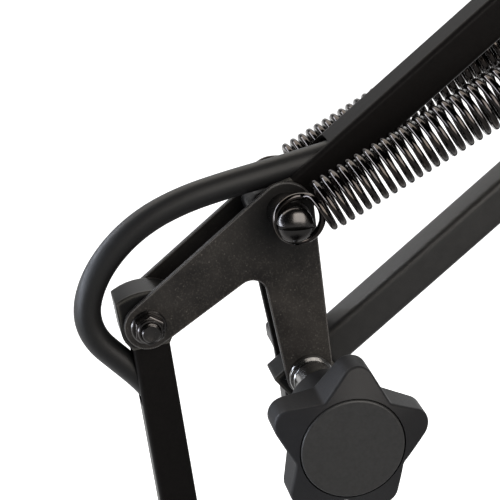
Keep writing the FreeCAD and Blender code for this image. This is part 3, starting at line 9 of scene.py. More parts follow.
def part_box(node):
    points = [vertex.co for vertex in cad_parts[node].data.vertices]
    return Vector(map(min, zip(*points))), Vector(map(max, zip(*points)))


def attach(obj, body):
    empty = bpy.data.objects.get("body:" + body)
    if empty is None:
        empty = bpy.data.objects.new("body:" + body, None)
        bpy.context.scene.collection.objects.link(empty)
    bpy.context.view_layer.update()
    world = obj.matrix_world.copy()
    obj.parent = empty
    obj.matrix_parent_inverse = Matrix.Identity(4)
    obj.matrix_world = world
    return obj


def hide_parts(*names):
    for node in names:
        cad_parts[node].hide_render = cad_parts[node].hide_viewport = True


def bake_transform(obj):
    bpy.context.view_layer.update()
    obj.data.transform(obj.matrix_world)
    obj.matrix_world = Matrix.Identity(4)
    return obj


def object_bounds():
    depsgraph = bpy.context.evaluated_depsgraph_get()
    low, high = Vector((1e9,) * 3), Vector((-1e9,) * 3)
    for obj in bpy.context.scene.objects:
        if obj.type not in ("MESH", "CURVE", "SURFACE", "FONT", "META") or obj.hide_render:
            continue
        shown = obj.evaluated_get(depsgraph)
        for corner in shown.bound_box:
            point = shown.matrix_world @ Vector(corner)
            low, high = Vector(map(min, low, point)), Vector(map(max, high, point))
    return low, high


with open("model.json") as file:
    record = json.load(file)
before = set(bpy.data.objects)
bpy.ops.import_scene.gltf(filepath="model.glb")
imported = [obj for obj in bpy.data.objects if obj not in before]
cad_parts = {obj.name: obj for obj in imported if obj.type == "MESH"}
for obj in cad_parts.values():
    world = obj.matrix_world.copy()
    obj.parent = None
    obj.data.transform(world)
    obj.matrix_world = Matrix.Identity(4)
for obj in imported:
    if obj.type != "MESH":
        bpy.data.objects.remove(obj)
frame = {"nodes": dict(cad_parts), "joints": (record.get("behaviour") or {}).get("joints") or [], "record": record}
cad_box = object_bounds()


# Places of the arm, in millimetres in its own plane (x, z), taken from the frame.

MM_IN_METRE = 1000
ORIGIN = (0, 0, 0)
joint_places = {joint["name"]: joint["pos_m"] for joint in frame["joints"] if "pos_m" in joint}


def pivot(joint):
    """Place of a joint in the arm's plane."""
    x, _, z = joint_places[joint]
    return x * MM_IN_METRE, z * MM_IN_METRE


def middle_of(node):
    """Middle of a node's box in the arm's plane."""
    low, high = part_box(node)
    spot = (low + high) / 2 * MM_IN_METRE
    return spot.x, spot.z


def heading(start, end):
    """Angle of the way from one place to another."""
    return math.atan2(end[1] - start[1], end[0] - start[0])


def bar_angle(start, end):
    """Angle of a bar between its pivots, to a hundredth of a degree, as the frame's places are rounded."""
    return math.radians(round(math.degrees(heading(start, end)), 2))


def metres(size):
    """Length or place in millimetres, turned to metres."""
    return size / MM_IN_METRE


def place(x, z, y=0.0):
    """Point of the arm's frame in metres."""
    return metres(Vector((x, y, z)))


def beside(start, lean, distance, aside):
    """Point a distance along a bar from its pivot and aside on its slotted face, in millimetres."""
    x, z = math.cos(lean), math.sin(lean)
    return start[0] + x * distance - z * aside, start[1] + z * distance + x * aside


BASE_MAIN, BASE_SECOND = pivot("lower_tilt"), pivot("lower_second_tilt")
BASE_STUD = pivot("lower_spring_sway")
ELBOW_LEFT, ELBOW_APEX, ELBOW_KNOB = pivot("elbow_level"), pivot("upper_tilt"), pivot("upper_second_tilt")
HEAD_TOP, HEAD_EYE = pivot("head_level"), pivot("mic_tilt")
HEAD_SECOND = (HEAD_TOP[0] + ELBOW_KNOB[0] - ELBOW_APEX[0], HEAD_TOP[1] + ELBOW_KNOB[1] - ELBOW_APEX[1])
LOWER_LEAN, UPPER_RISE = bar_angle(BASE_MAIN, ELBOW_LEFT), bar_angle(ELBOW_APEX, HEAD_TOP)
UPPER_ANCHOR, LOWER_ANCHOR = middle_of("upper_anchor_collar"), middle_of("lower_anchor_collar")
PLATE_INSIDE, PLATE_FACE = (corner.y * MM_IN_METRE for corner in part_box("elbow_plate_rear"))
# Distance of the springs from the arm's plane.
SPRING_SIDE = 15.8


# Colours and materials. A pattern's scale is worked out from its real size in millimetres.

# Sockets of a mix of colours: its share, its two colours and its result.
SHARE, FIRST, SECOND, MIXED = 0, 6, 7, 2
# How far a rounded edge's normal agrees with its face's where the painted edge highlight begins to show, and where
# it is full.
HIGHLIGHT_BEGINS, HIGHLIGHT_FULL = 0.985, 0.9


def linear(code):
    """Linear colour of an sRGB hex value."""
    parts = [int(code[i:i + 2], 16) / 255 for i in (1, 3, 5)]
    return [p / 12.92 if p <= 0.04045 else ((p + 0.055) / 1.055) ** 2.4 for p in parts] + [1.0]


def per_mm(size):
    """Texture scale for a pattern of this size in millimetres."""
    return MM_IN_METRE / size


def add(tree, kind, inputs, **settings):
    """Node with its settings, its input values and its links."""
    node = tree.nodes.new(kind)
    for name, value in settings.items():
        setattr(node, name, value)
    for name, value in inputs.items():
        socket = node.inputs[name]
        if isinstance(value, bpy.types.NodeSocket):
            tree.links.new(value, socket)
        else:
            socket.default_value = value
    return node


def started(name):
    """New material with an empty tree; gives the material, its tree and the piece's own coordinates."""
    material = bpy.data.materials.new(name)
    material.use_nodes = True
    tree = material.node_tree
    tree.nodes.clear()
    return material, tree, add(tree, "ShaderNodeTexCoord", {}).outputs["Object"]


def edge_highlight(tree, tone, width, colour, share):
    """Tone that pales towards the edges, over a width in millimetres: a painted highlight where an edge catches
    the light.
    """
    bent = add(tree, "ShaderNodeBevel", {"Radius": metres(width)}, samples=8)
    facing = add(tree, "ShaderNodeNewGeometry", {})
    bend = add(tree, "ShaderNodeVectorMath", {0: bent.outputs["Normal"], 1: facing.outputs["True Normal"]},
               operation="DOT_PRODUCT")
    highlighted = add(tree, "ShaderNodeMapRange", {"Value": bend.outputs["Value"], "From Min": HIGHLIGHT_BEGINS,
                                            "From Max": HIGHLIGHT_FULL, "To Min": 0.0, "To Max": share})
    return add(tree, "ShaderNodeMix",
               {SHARE: highlighted.outputs["Result"], FIRST: tone.outputs[MIXED], SECOND: linear(colour)},
               data_type="RGBA")


def plated(name, patch, detail, mark, tones, gloss):
    """Plated metal: its tone changes in patches and its gloss with fine marks, sized in millimetres."""
    material, tree, spot = started(name)
    patches = add(tree, "ShaderNodeTexNoise", {"Vector": spot, "Scale": per_mm(patch), "Detail": detail})
    marks = add(tree, "ShaderNodeTexNoise", {"Vector": spot, "Scale": per_mm(mark), "Detail": 2.0})
    tone = add(tree, "ShaderNodeMix",
               {SHARE: patches.outputs["Fac"], FIRST: linear(tones[0]), SECOND: linear(tones[1])},
               data_type="RGBA")
    sheen = add(tree, "ShaderNodeMapRange",
                {"Value": marks.outputs["Fac"], "To Min": gloss[0], "To Max": gloss[1]})
    metal = add(tree, "ShaderNodeBsdfPrincipled",
                {"Base Color": tone.outputs[MIXED], "Metallic": 1.0, "Roughness": sheen.outputs["Result"]})
    add(tree, "ShaderNodeOutputMaterial", {"Surface": metal.outputs["BSDF"]})
    return material


# Polyester powder coat, sprayed and baked: an even satin black with a fine pebbled skin, paler specks
# where dust sits and cloudy sheen from handling. Painted shade blackens it round the spring studs and darkens
# it between the plates, and a painted highlight pales it along the edges. The pebbles are about 0.2 mm, drawn at
# 0.5 mm to show.
plate_coat, tree, spot = started("polyester_powder_coat")
pebbles = add(tree, "ShaderNodeTexNoise",
              {"Vector": spot, "Scale": per_mm(0.5), "Detail": 3.0, "Roughness": 0.6})
clouds = add(tree, "ShaderNodeTexNoise",
             {"Vector": spot, "Scale": per_mm(11.0), "Detail": 4.0, "Roughness": 0.6})
flecks = add(tree, "ShaderNodeTexVoronoi", {"Vector": spot, "Scale": per_mm(1.7), "Randomness": 1.0})
smudge = add(tree, "ShaderNodeMapRange",
             {"Value": clouds.outputs["Fac"], "From Min": 0.32, "From Max": 0.68})
tone = add(tree, "ShaderNodeMix",
           {SHARE: smudge.outputs["Result"], FIRST: linear("#181615"), SECOND: linear("#2e2b28")},
           data_type="RGBA")
grain = add(tree, "ShaderNodeMapRange", {"Value": pebbles.outputs["Fac"], "From Min": 0.52,
                                         "From Max": 0.72, "To Min": 0.0, "To Max": 0.3})
tone = add(tree, "ShaderNodeMix",
           {SHARE: grain.outputs["Result"], FIRST: tone.outputs[MIXED], SECOND: linear("#5a5650")},
           data_type="RGBA")
fleck = add(tree, "ShaderNodeMapRange", {"Value": flecks.outputs["Distance"], "From Min": 0.05,
                                         "From Max": 0.15, "To Min": 0.35, "To Max": 0.0})
tone = add(tree, "ShaderNodeMix",
           {SHARE: fleck.outputs["Result"], FIRST: tone.outputs[MIXED], SECOND: linear("#6e6a64")},
           data_type="RGBA")
# Painted shade: the coat turns black round the stud at the elbow's apex.
in_plane = add(tree, "ShaderNodeVectorMath", {0: spot, 1: (1.0, 0.0, 1.0)}, operation="MULTIPLY")
reach = add(tree, "ShaderNodeVectorMath", {0: in_plane.outputs["Vector"], 1: place(*ELBOW_APEX)},
            operation="DISTANCE")
painted_stud_shade = add(tree, "ShaderNodeMapRange", {"Value": reach.outputs["Value"], "From Min": metres(5.0),
                                          "From Max": metres(19.0), "To Min": 0.8, "To Max": 0.0},
             interpolation_type="SMOOTHSTEP")
tone = add(tree, "ShaderNodeMix",
           {SHARE: painted_stud_shade.outputs["Result"], FIRST: tone.outputs[MIXED], SECOND: linear("#080707")},
           data_type="RGBA")
# Painted shade: the coat is darker on the faces between the plates than on their outer faces.
depth = add(tree, "ShaderNodeSeparateXYZ", {"Vector": spot})
depth = add(tree, "ShaderNodeMath", {0: depth.outputs["Y"]}, operation="ABSOLUTE")
painted_gap_shade = add(tree, "ShaderNodeMapRange", {"Value": depth.outputs["Value"], "From Min": metres(PLATE_INSIDE),
                                          "From Max": metres(PLATE_FACE), "To Min": 0.75, "To Max": 0.0})
tone = add(tree, "ShaderNodeMix",
           {SHARE: painted_gap_shade.outputs["Result"], FIRST: tone.outputs[MIXED], SECOND: linear("#0c0a09")},
           data_type="RGBA")
# Painted highlight: the coat pales along its edges.
tone = edge_highlight(tree, tone, 0.8, "#8c8a88", 0.7)
gloss = add(tree, "ShaderNodeMapRange", {"Value": clouds.outputs["Fac"], "To Min": 0.36, "To Max": 0.56})
relief = add(tree, "ShaderNodeBump",
             {"Height": pebbles.outputs["Fac"], "Distance": metres(0.04), "Strength": 0.45})
coat = add(tree, "ShaderNodeBsdfPrincipled",
           {"Base Color": tone.outputs[MIXED], "Roughness": gloss.outputs["Result"], "IOR": 1.5,
            "Specular IOR Level": 0.35, "Normal": relief.outputs["Normal"]})
add(tree, "ShaderNodeOutputMaterial", {"Surface": coat.outputs["BSDF"]})

# Stoving enamel on drawn tube, dipped: deep black that only shines at a slant, with an orange peel of
# about 2 mm and a faint film of dust.
bar_enamel, tree, spot = started("dull_stoving_enamel")
peel = add(tree, "ShaderNodeTexNoise", {"Vector": spot, "Scale": per_mm(2.0), "Detail": 2.0})
dust = add(tree, "ShaderNodeTexNoise", {"Vector": spot, "Scale": per_mm(0.6), "Detail": 2.0})
tone = add(tree, "ShaderNodeMix",
           {SHARE: dust.outputs["Fac"], FIRST: linear("#0c0b0b"), SECOND: linear("#171514")},
           data_type="RGBA")
gloss = add(tree, "ShaderNodeMapRange", {"Value": peel.outputs["Fac"], "To Min": 0.26, "To Max": 0.4})
relief = add(tree, "ShaderNodeBump",
             {"Height": peel.outputs["Fac"], "Distance": metres(0.03), "Strength": 0.3})
enamel = add(tree, "ShaderNodeBsdfPrincipled",
             {"Base Color": tone.outputs[MIXED], "Roughness": gloss.outputs["Result"], "IOR": 1.5,
              "Specular IOR Level": 0.1, "Normal": relief.outputs["Normal"]})
add(tree, "ShaderNodeOutputMaterial", {"Surface": enamel.outputs["BSDF"]})

# The same enamel as a lit copy on the bar that the hand takes hold of: a paler tone and a far stronger sheen,
# painted light for how this bar catches the light, its shading rounded where it runs over the tube's corners.
enamel_lit_copy, tree, spot = started("stoving_enamel_lit_copy")
peel = add(tree, "ShaderNodeTexNoise", {"Vector": spot, "Scale": per_mm(2.0), "Detail": 2.0})
dust = add(tree, "ShaderNodeTexNoise", {"Vector": spot, "Scale": per_mm(0.6), "Detail": 2.0})
tone = add(tree, "ShaderNodeMix",
           {SHARE: dust.outputs["Fac"], FIRST: linear("#0d0c0b"), SECOND: linear("#191715")},
           data_type="RGBA")
gloss = add(tree, "ShaderNodeMapRange", {"Value": peel.outputs["Fac"], "To Min": 0.3, "To Max": 0.46})
corner = add(tree, "ShaderNodeBevel", {"Radius": metres(2.2)}, samples=12)
relief = add(tree, "ShaderNodeBump", {"Height": dust.outputs["Fac"], "Distance": metres(0.02),
                                      "Strength": 0.4, "Normal": corner.outputs["Normal"]})
enamel = add(tree, "ShaderNodeBsdfPrincipled",
             {"Base Color": tone.outputs[MIXED], "Roughness": gloss.outputs["Result"], "IOR": 1.5,
              "Specular IOR Level": 0.95, "Normal": relief.outputs["Normal"]})
add(tree, "ShaderNodeOutputMaterial", {"Surface": enamel.outputs["BSDF"]})

# Glass-filled nylon, moulded: matt black with a spark-eroded grain of about 0.3 mm, drawn at 0.45 mm, and
# a painted highlight pale along its edges.
knuckle_nylon, tree, spot = started("glass_filled_nylon")
grit = add(tree, "ShaderNodeTexNoise", {"Vector": spot, "Scale": per_mm(0.45), "Detail": 2.0})
flow = add(tree, "ShaderNodeTexNoise", {"Vector": spot, "Scale": per_mm(5.0), "Detail": 3.0})
tone = add(tree, "ShaderNodeMix",
           {SHARE: flow.outputs["Fac"], FIRST: linear("#0a0a0b"), SECOND: linear("#141414")},
           data_type="RGBA")
# Painted highlight: the nylon pales along its edges.
tone = edge_highlight(tree, tone, 2.2, "#5c5a55", 0.6)
gloss = add(tree, "ShaderNodeMapRange", {"Value": flow.outputs["Fac"], "To Min": 0.2, "To Max": 0.38})
relief = add(tree, "ShaderNodeBump",
             {"Height": grit.outputs["Fac"], "Distance": metres(0.03), "Strength": 0.4})
nylon = add(tree, "ShaderNodeBsdfPrincipled",
            {"Base Color": tone.outputs[MIXED], "Roughness": gloss.outputs["Result"], "IOR": 1.53,
             "Specular IOR Level": 0.16, "Normal": relief.outputs["Normal"]})
add(tree, "ShaderNodeOutputMaterial", {"Surface": nylon.outputs["BSDF"]})

# Black nickel on drawn spring wire: a dark mirror, brown where the plating is thin, with fine marks.
spring_wire = plated("black_nickel_wire", patch=4.0, detail=3.0, mark=0.3, tones=("#48484b", "#4e463e"),
                     gloss=(0.08, 0.18))

# Black zinc on turned steel: dark and slightly softer than the wire, with turning marks of about 0.3 mm.
black_zinc = plated("black_zinc", patch=3.0, detail=3.0, mark=0.3, tones=("#4b4a4a", "#676462"),
                    gloss=(0.16, 0.32))

# Bright nickel on turned steel: a pale mirror with fine turning marks, greyer in the pits.
bright_nickel = plated("bright_nickel", patch=1.5, detail=4.0, mark=0.4, tones=("#7d7d7e", "#bdbcba"),
                       gloss=(0.12, 0.26))

# Polished black nickel on the knob's sleeve: a deep mirror with faint turning marks.
black_mirror = plated("polished_black_nickel", patch=2.5, detail=3.0, mark=0.4,
                      tones=("#2e2e30", "#454341"), gloss=(0.05, 0.14))

# Painted shade in the screws' slots: black and faintly glossy.
slot_shade_finish, tree, spot = started("painted_slot_shade")
film = add(tree, "ShaderNodeTexNoise", {"Vector": spot, "Scale": per_mm(0.5), "Detail": 2.0})
gloss = add(tree, "ShaderNodeMapRange", {"Value": film.outputs["Fac"], "To Min": 0.35, "To Max": 0.6})
slot_shade_surface = add(tree, "ShaderNodeBsdfPrincipled",
          {"Base Color": linear("#0a0908"), "Roughness": gloss.outputs["Result"], "IOR": 1.47,
           "Specular IOR Level": 0.2})
add(tree, "ShaderNodeOutputMaterial", {"Surface": slot_shade_surface.outputs["BSDF"]})

# Plain nylon for bushes and for the disc in the large knob: dark grey and slightly waxy.
bush_nylon, tree, spot = started("plain_nylon")
flow = add(tree, "ShaderNodeTexNoise", {"Vector": spot, "Scale": per_mm(0.8), "Detail": 2.0})
tone = add(tree, "ShaderNodeMix",
           {SHARE: flow.outputs["Fac"], FIRST: linear("#262626"), SECOND: linear("#343434")},
           data_type="RGBA")
gloss = add(tree, "ShaderNodeMapRange", {"Value": flow.outputs["Fac"], "To Min": 0.34, "To Max": 0.5})
nylon = add(tree, "ShaderNodeBsdfPrincipled",
            {"Base Color": tone.outputs[MIXED], "Roughness": gloss.outputs["Result"], "IOR": 1.53,
             "Specular IOR Level": 0.4})
add(tree, "ShaderNodeOutputMaterial", {"Surface": nylon.outputs["BSDF"]})

# Soft PVC, extruded: matt black with a broad soft sheen, slow waves of about 4 mm and a dusty bloom.
cable_pvc, tree, spot = started("soft_pvc")
waves = add(tree, "ShaderNodeTexNoise", {"Vector": spot, "Scale": per_mm(4.0), "Detail": 2.0})
bloom = add(tree, "ShaderNodeTexNoise", {"Vector": spot, "Scale": per_mm(0.5), "Detail": 2.0})
tone = add(tree, "ShaderNodeMix",
           {SHARE: bloom.outputs["Fac"], FIRST: linear("#101011"), SECOND: linear("#191919")},
           data_type="RGBA")
gloss = add(tree, "ShaderNodeMapRange", {"Value": waves.outputs["Fac"], "To Min": 0.4, "To Max": 0.52})
relief = add(tree, "ShaderNodeBump",
             {"Height": bloom.outputs["Fac"], "Distance": metres(0.02), "Strength": 0.35})
jacket = add(tree, "ShaderNodeBsdfPrincipled",
             {"Base Color": tone.outputs[MIXED], "Roughness": gloss.outputs["Result"], "IOR": 1.52,
              "Specular IOR Level": 0.42, "Normal": relief.outputs["Normal"]})
add(tree, "ShaderNodeOutputMaterial", {"Surface": jacket.outputs["BSDF"]})

# Black chrome on die-cast zinc for the connectors' shells: a smoky, slightly dulled mirror.
plug_chrome, tree, spot = started("black_chrome")
smoke = add(tree, "ShaderNodeTexNoise", {"Vector": spot, "Scale": per_mm(1.2), "Detail": 3.0})
tone = add(tree, "ShaderNodeMix",
           {SHARE: smoke.outputs["Fac"], FIRST: linear("#2a2a2c"), SECOND: linear("#3c3c3f")},
           data_type="RGBA")
gloss = add(tree, "ShaderNodeMapRange", {"Value": smoke.outputs["Fac"], "To Min": 0.22, "To Max": 0.38})
plating = add(tree, "ShaderNodeBsdfPrincipled",
              {"Base Color": tone.outputs[MIXED], "Metallic": 1.0, "Roughness": gloss.outputs["Result"]})
add(tree, "ShaderNodeOutputMaterial", {"Surface": plating.outputs["BSDF"]})

# ABS, moulded matt: black with a dry grey bloom over an etched grain of about 0.3 mm, drawn at 0.45 mm.
knob_abs, tree, spot = started("matt_abs")
grit = add(tree, "ShaderNodeTexNoise", {"Vector": spot, "Scale": per_mm(0.45), "Detail": 2.0})
bloom = add(tree, "ShaderNodeTexNoise", {"Vector": spot, "Scale": per_mm(7.0), "Detail": 4.0})
tone = add(tree, "ShaderNodeMix",
           {SHARE: bloom.outputs["Fac"], FIRST: linear("#151517"), SECOND: linear("#202022")},
           data_type="RGBA")
gloss = add(tree, "ShaderNodeMapRange", {"Value": grit.outputs["Fac"], "To Min": 0.4, "To Max": 0.56})
relief = add(tree, "ShaderNodeBump",
             {"Height": grit.outputs["Fac"], "Distance": metres(0.02), "Strength": 0.35})
plastic = add(tree, "ShaderNodeBsdfPrincipled",
              {"Base Color": tone.outputs[MIXED], "Roughness": gloss.outputs["Result"], "IOR": 1.54,
               "Specular IOR Level": 0.28, "Normal": relief.outputs["Normal"]})
add(tree, "ShaderNodeOutputMaterial", {"Surface": plastic.outputs["BSDF"]})

# Enamel over cast metal: satin black with a gentle unevenness of about 3 mm and a film of dust.
clamp_enamel, tree, spot = started("cast_enamel")
skin = add(tree, "ShaderNodeTexNoise", {"Vector": spot, "Scale": per_mm(3.0), "Detail": 4.0})
dust = add(tree, "ShaderNodeTexNoise", {"Vector": spot, "Scale": per_mm(0.6), "Detail": 2.0})
tone = add(tree, "ShaderNodeMix",
           {SHARE: dust.outputs["Fac"], FIRST: linear("#181818"), SECOND: linear("#272625")},
           data_type="RGBA")
gloss = add(tree, "ShaderNodeMapRange", {"Value": skin.outputs["Fac"], "To Min": 0.34, "To Max": 0.52})
relief = add(tree, "ShaderNodeBump",
             {"Height": skin.outputs["Fac"], "Distance": metres(0.08), "Strength": 0.4})
enamel = add(tree, "ShaderNodeBsdfPrincipled",
             {"Base Color": tone.outputs[MIXED], "Roughness": gloss.outputs["Result"], "IOR": 1.5,
              "Specular IOR Level": 0.35, "Normal": relief.outputs["Normal"]})
add(tree, "ShaderNodeOutputMaterial", {"Surface": enamel.outputs["BSDF"]})

# Natural rubber, pressed: dead matt with a dusty grain of about 0.5 mm.
pad_rubber, tree, spot = started("natural_rubber")
grit = add(tree, "ShaderNodeTexNoise", {"Vector": spot, "Scale": per_mm(0.5), "Detail": 2.0})
tone = add(tree, "ShaderNodeMix",
           {SHARE: grit.outputs["Fac"], FIRST: linear("#141414"), SECOND: linear("#222222")},
           data_type="RGBA")
relief = add(tree, "ShaderNodeBump",
             {"Height": grit.outputs["Fac"], "Distance": metres(0.04), "Strength": 0.5})
rubber = add(tree, "ShaderNodeBsdfPrincipled",
             {"Base Color": tone.outputs[MIXED], "Roughness": 0.82, "IOR": 1.52,
              "Specular IOR Level": 0.3, "Normal": relief.outputs["Normal"]})
add(tree, "ShaderNodeOutputMaterial", {"Surface": rubber.outputs["BSDF"]})

FINISHES = {"powder_coat": plate_coat, "tube_enamel": bar_enamel, "knuckle_nylon": knuckle_nylon,
            "spring_steel": spring_wire, "black_zinc": black_zinc, "bright_steel": bright_nickel,
            "bush_nylon": bush_nylon, "collar_enamel": clamp_enamel, "cable_jacket": cable_pvc,
            "plug_shell": plug_chrome, "knob_plastic": knob_abs, "clamp_enamel": clamp_enamel,
            "pad_rubber": pad_rubber}
# The second upper bar takes the enamel's lit copy, painted light; the knob's disc takes plain nylon.
OWN_FINISHES = {"upper_second_tube": enamel_lit_copy, "elbow_knob_cap": bush_nylon}
for subpart in frame["record"]["subparts"]:
    finish = OWN_FINISHES.get(subpart["node"], FINISHES[subpart["material_slot"]])
    for holder in frame["nodes"][subpart["node"]].material_slots:
        holder.material = finish


# Pieces: tubes along lines, bodies turned from profiles, and copies of solids that take more detail.

LINE_STEPS, LINE_ORDER, WALL_CORNERS = 10, 3, 4
MERGE = 1e-7


def piece_from(name, mesh, material):
    """Object in the scene with a mesh and one material."""
    piece = bpy.data.objects.new(name, mesh)
    bpy.context.scene.collection.objects.link(piece)
    mesh.materials.clear()
    mesh.materials.append(material)
    return piece


def spline(points, kind, radius=0.0, fineness=0):
    """Curve object through or near points; with a radius, a round tube with closed ends."""
    curve = bpy.data.curves.new("line", "CURVE")
    curve.dimensions = "3D"
    curve.resolution_u = LINE_STEPS
    line = curve.splines.new(kind)
    line.points.add(len(points) - 1)
    for held, spot in zip(line.points, points):
        held.co = (*spot, 1.0)
    if kind == "NURBS":
        line.order_u = LINE_ORDER
        line.use_endpoint_u = True
    curve.bevel_depth = radius
    curve.bevel_resolution = fineness
    curve.use_fill_caps = True
    return bpy.data.objects.new("line", curve)


def made_mesh(line):
    """Mesh of a curve object, which is then removed."""
    bpy.context.scene.collection.objects.link(line)
    bpy.context.view_layer.update()
    mesh = bpy.data.meshes.new_from_object(line.evaluated_get(bpy.context.evaluated_depsgraph_get()))
    curve = line.data
    bpy.data.objects.remove(line)
    bpy.data.curves.remove(curve)
    return mesh


def line_points(points):
    """Points read along a cord's smooth line."""
    mesh = made_mesh(spline(points, "NURBS"))
    spots = [vertex.co.copy() for vertex in mesh.vertices]
    bpy.data.meshes.remove(mesh)
    return spots


def tube_along(name, points, radius, material, fineness):
    """Round tube along points, with a smooth wall and flat ends."""
    mesh = made_mesh(spline(points, "POLY", radius, fineness))
    for face in mesh.polygons:
        face.use_smooth = len(face.vertices) == WALL_CORNERS
    return piece_from(name, mesh, material)


def joined(shape, part):
    """Adds a part to a mesh and frees the part."""
    held = bpy.data.meshes.new("held")
    part.to_mesh(held)
    part.free()
    shape.from_mesh(held)
    bpy.data.meshes.remove(held)


def taken(shape, part, spot, finish=0):
    """Moves a part into place, gives its faces a finish and adds it to a mesh."""
    bmesh.ops.translate(part, verts=part.verts, vec=spot)
    for face in part.faces:
        face.material_index = finish
        face.smooth = True
    joined(shape, part)


def turned(shape, profile, spot, finish=0, closed=False, steps=48, flat=1.0):
    """Adds a body of revolution about Y to a mesh: (radius, depth towards -Y) in millimetres."""
    part = bmesh.new()
    spots = [part.verts.new((metres(radius), metres(-depth * flat), 0)) for radius, depth in profile]
    rims = [part.edges.new(pair) for pair in zip(spots, spots[1:] + (spots[:1] if closed else []))]
    bmesh.ops.spin(part, geom=spots + rims, cent=ORIGIN, axis=(0, 1, 0), angle=2 * math.pi, steps=steps,
                   use_merge=True)
    bmesh.ops.remove_doubles(part, verts=part.verts, dist=MERGE)
    bmesh.ops.recalc_face_normals(part, faces=part.faces)
    taken(shape, part, spot, finish)


def cut_off(shape, spot, way, **side):
    """Cuts a shape by a plane, clears one side of it and closes the cut."""
    cut = bmesh.ops.bisect_plane(shape, geom=shape.verts[:] + shape.edges[:] + shape.faces[:],
                                 plane_co=spot, plane_no=way, **side)
    rim = [part for part in cut["geom_cut"] if isinstance(part, bmesh.types.BMEdge)]
    bmesh.ops.edgenet_fill(shape, edges=rim)


def copied(node):
    """Mesh of a CAD node with its loose triangles merged and shaded smooth."""
    shape = bmesh.new()
    shape.from_mesh(frame["nodes"][node].data)
    bmesh.ops.remove_doubles(shape, verts=shape.verts, dist=MERGE)
    for face in shape.faces:
        face.smooth = True
    return shape


def dressed(name, shape, node, body, finishes, crease=35):
    """Piece from a mesh, with edges sharp past a crease in degrees, that stands for a node on its body."""
    mesh = bpy.data.meshes.new(name)
    for edge in shape.edges:
        edge.smooth = len(edge.link_faces) == 2 and edge.calc_face_angle() < math.radians(crease)
    shape.to_mesh(mesh)
    shape.free()
    piece = piece_from(name, mesh, finishes[0])
    for finish in finishes[1:]:
        mesh.materials.append(finish)
    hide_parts(node)
    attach(piece, body)
    return piece


# Cable: the route's points in millimetres. Inside a bar they are given from its pivot, as distance along
# it and aside; the loop's and the tails' are given from the elbow's apex and from the outer pivots.

CABLE_RADIUS, CABLE_FINENESS = 3.6, 10
LOWER_INSIDE = ((62.0, 0.0), (43.0, 0.0), (33.0, -0.2), (24.2, -0.35), (17.4, 3.1))
UPPER_INSIDE = ((64.0, 0.0), (43.0, 0.0), (31.0, -0.2), (20.6, -0.35), (13.6, 2.9))
LOOP = ((-42.5, -40.65), (-49.05, -34.25), (-51.35, -26.5), (-48.95, -17.5), (-43.2, -9.0),
        (-35.15, -2.15), (-25.3, 2.55), (-14.35, 5.65), (-3.0, 8.3))
BASE_TAIL = ((-9.94, 9.6), (-14.2, 3.4), (-19.0, -5.0), (-23.2, -16.5), (-26.0, -32.0), (-27.6, -57.0),
             (-28.0, -92.0), (-28.0, -130.0))
MIC_TAIL = ((-9.0, 0.0, 6.9), (-6.0, 4.0, 22.0), (2.5, 11.0, 38.0), (18.0, 19.0, 48.0), (38.0, 24.5, 46.5),
            (54.0, 26.5, 34.0), (62.0, 27.0, 16.0), (64.2, 27.0, -6.0), (64.2, 27.0, -28.0))
# Points of the loop and of the base tail at which a bend's blending would end or begin; only the first is
# used, to part the loop in two.
LOWER_GIVE, UPPER_GIVE, BASE_GIVE = 2, 5, 3

lower_inside = [place(*beside(ELBOW_LEFT, LOWER_LEAN, -a, p)) for a, p in LOWER_INSIDE]
upper_inside = [place(*beside(ELBOW_APEX, UPPER_RISE, a, p)) for a, p in UPPER_INSIDE]
loop_way = [place(ELBOW_APEX[0] + x, ELBOW_APEX[1] + z) for x, z in LOOP]
base_inside = [place(*beside(BASE_MAIN, LOWER_LEAN, a, p)) for a, p in LOWER_INSIDE]
base_way = [place(BASE_MAIN[0] + x, BASE_MAIN[1] + z) for x, z in BASE_TAIL]
mic_inside = [place(*beside(HEAD_TOP, UPPER_RISE, -a, p)) for a, p in UPPER_INSIDE]
mic_way = [place(HEAD_TOP[0] + x, HEAD_TOP[1] + z, y) for x, y, z in MIC_TAIL]
loop_line = line_points(lower_inside + loop_way + upper_inside[::-1])
base_line, mic_line = line_points(base_inside + base_way), line_points(mic_inside + mic_way)

# The loop is one line in two pieces, which share one ring in the middle of a straight step.
parting = (loop_way[LOWER_GIVE] + loop_way[LOWER_GIVE + 1]) / 2
middle = min(range(len(loop_line)), key=lambda k: (loop_line[k] - parting).length)
seam = (loop_line[middle] + loop_line[middle + 1]) / 2


def cable(name, points, node):
    """Stretch of the cable between two bodies that stands for its solid."""
    piece = tube_along(name, points, metres(CABLE_RADIUS), cable_pvc, CABLE_FINENESS)
    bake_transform(piece)
    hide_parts(node)


# Connectors: copies of their solids, with ribs on the rubber boots and a ring behind the barrel.

BOOT, BOOT_TIP, BOOT_END = 20.0, 4.6, 6.2
RIBS, RIB_STEP, RIB_RISE, RIB_SINK, RIB_TOP, RIB_FOOT = 7, 2.4, 0.45, 0.2, 0.35, 0.7
RING = ((9.4, 29.0), (9.8, 29.2), (9.8, 31.0), (9.4, 31.2))


def dressed_connector(name, node, body, end):
    """Connector that hangs from the end of a tail."""
    shape = copied(node)
    for face in shape.faces:
        face.material_index = int((end.z - face.calc_center_median().z) * MM_IN_METRE < BOOT)
    extra = bmesh.new()
    for k in range(1, RIBS + 1):
        height = k * RIB_STEP
        radius = BOOT_TIP + (BOOT_END - BOOT_TIP) * height / BOOT
        rib = ((radius - RIB_SINK, height - RIB_FOOT), (radius + RIB_RISE, height - RIB_TOP),
               (radius + RIB_RISE, height + RIB_TOP), (radius - RIB_SINK, height + RIB_FOOT))
        turned(extra, rib, ORIGIN, finish=1, closed=True, steps=32)
    turned(extra, RING, ORIGIN, closed=True, steps=64)
    bmesh.ops.rotate(extra, verts=extra.verts, cent=ORIGIN, matrix=Matrix.Rotation(math.pi / 2, 3, "X"))
    bmesh.ops.translate(extra, verts=extra.verts, vec=end)
    joined(shape, extra)
    return dressed(name, shape, node, body, (plug_chrome, cable_pvc))


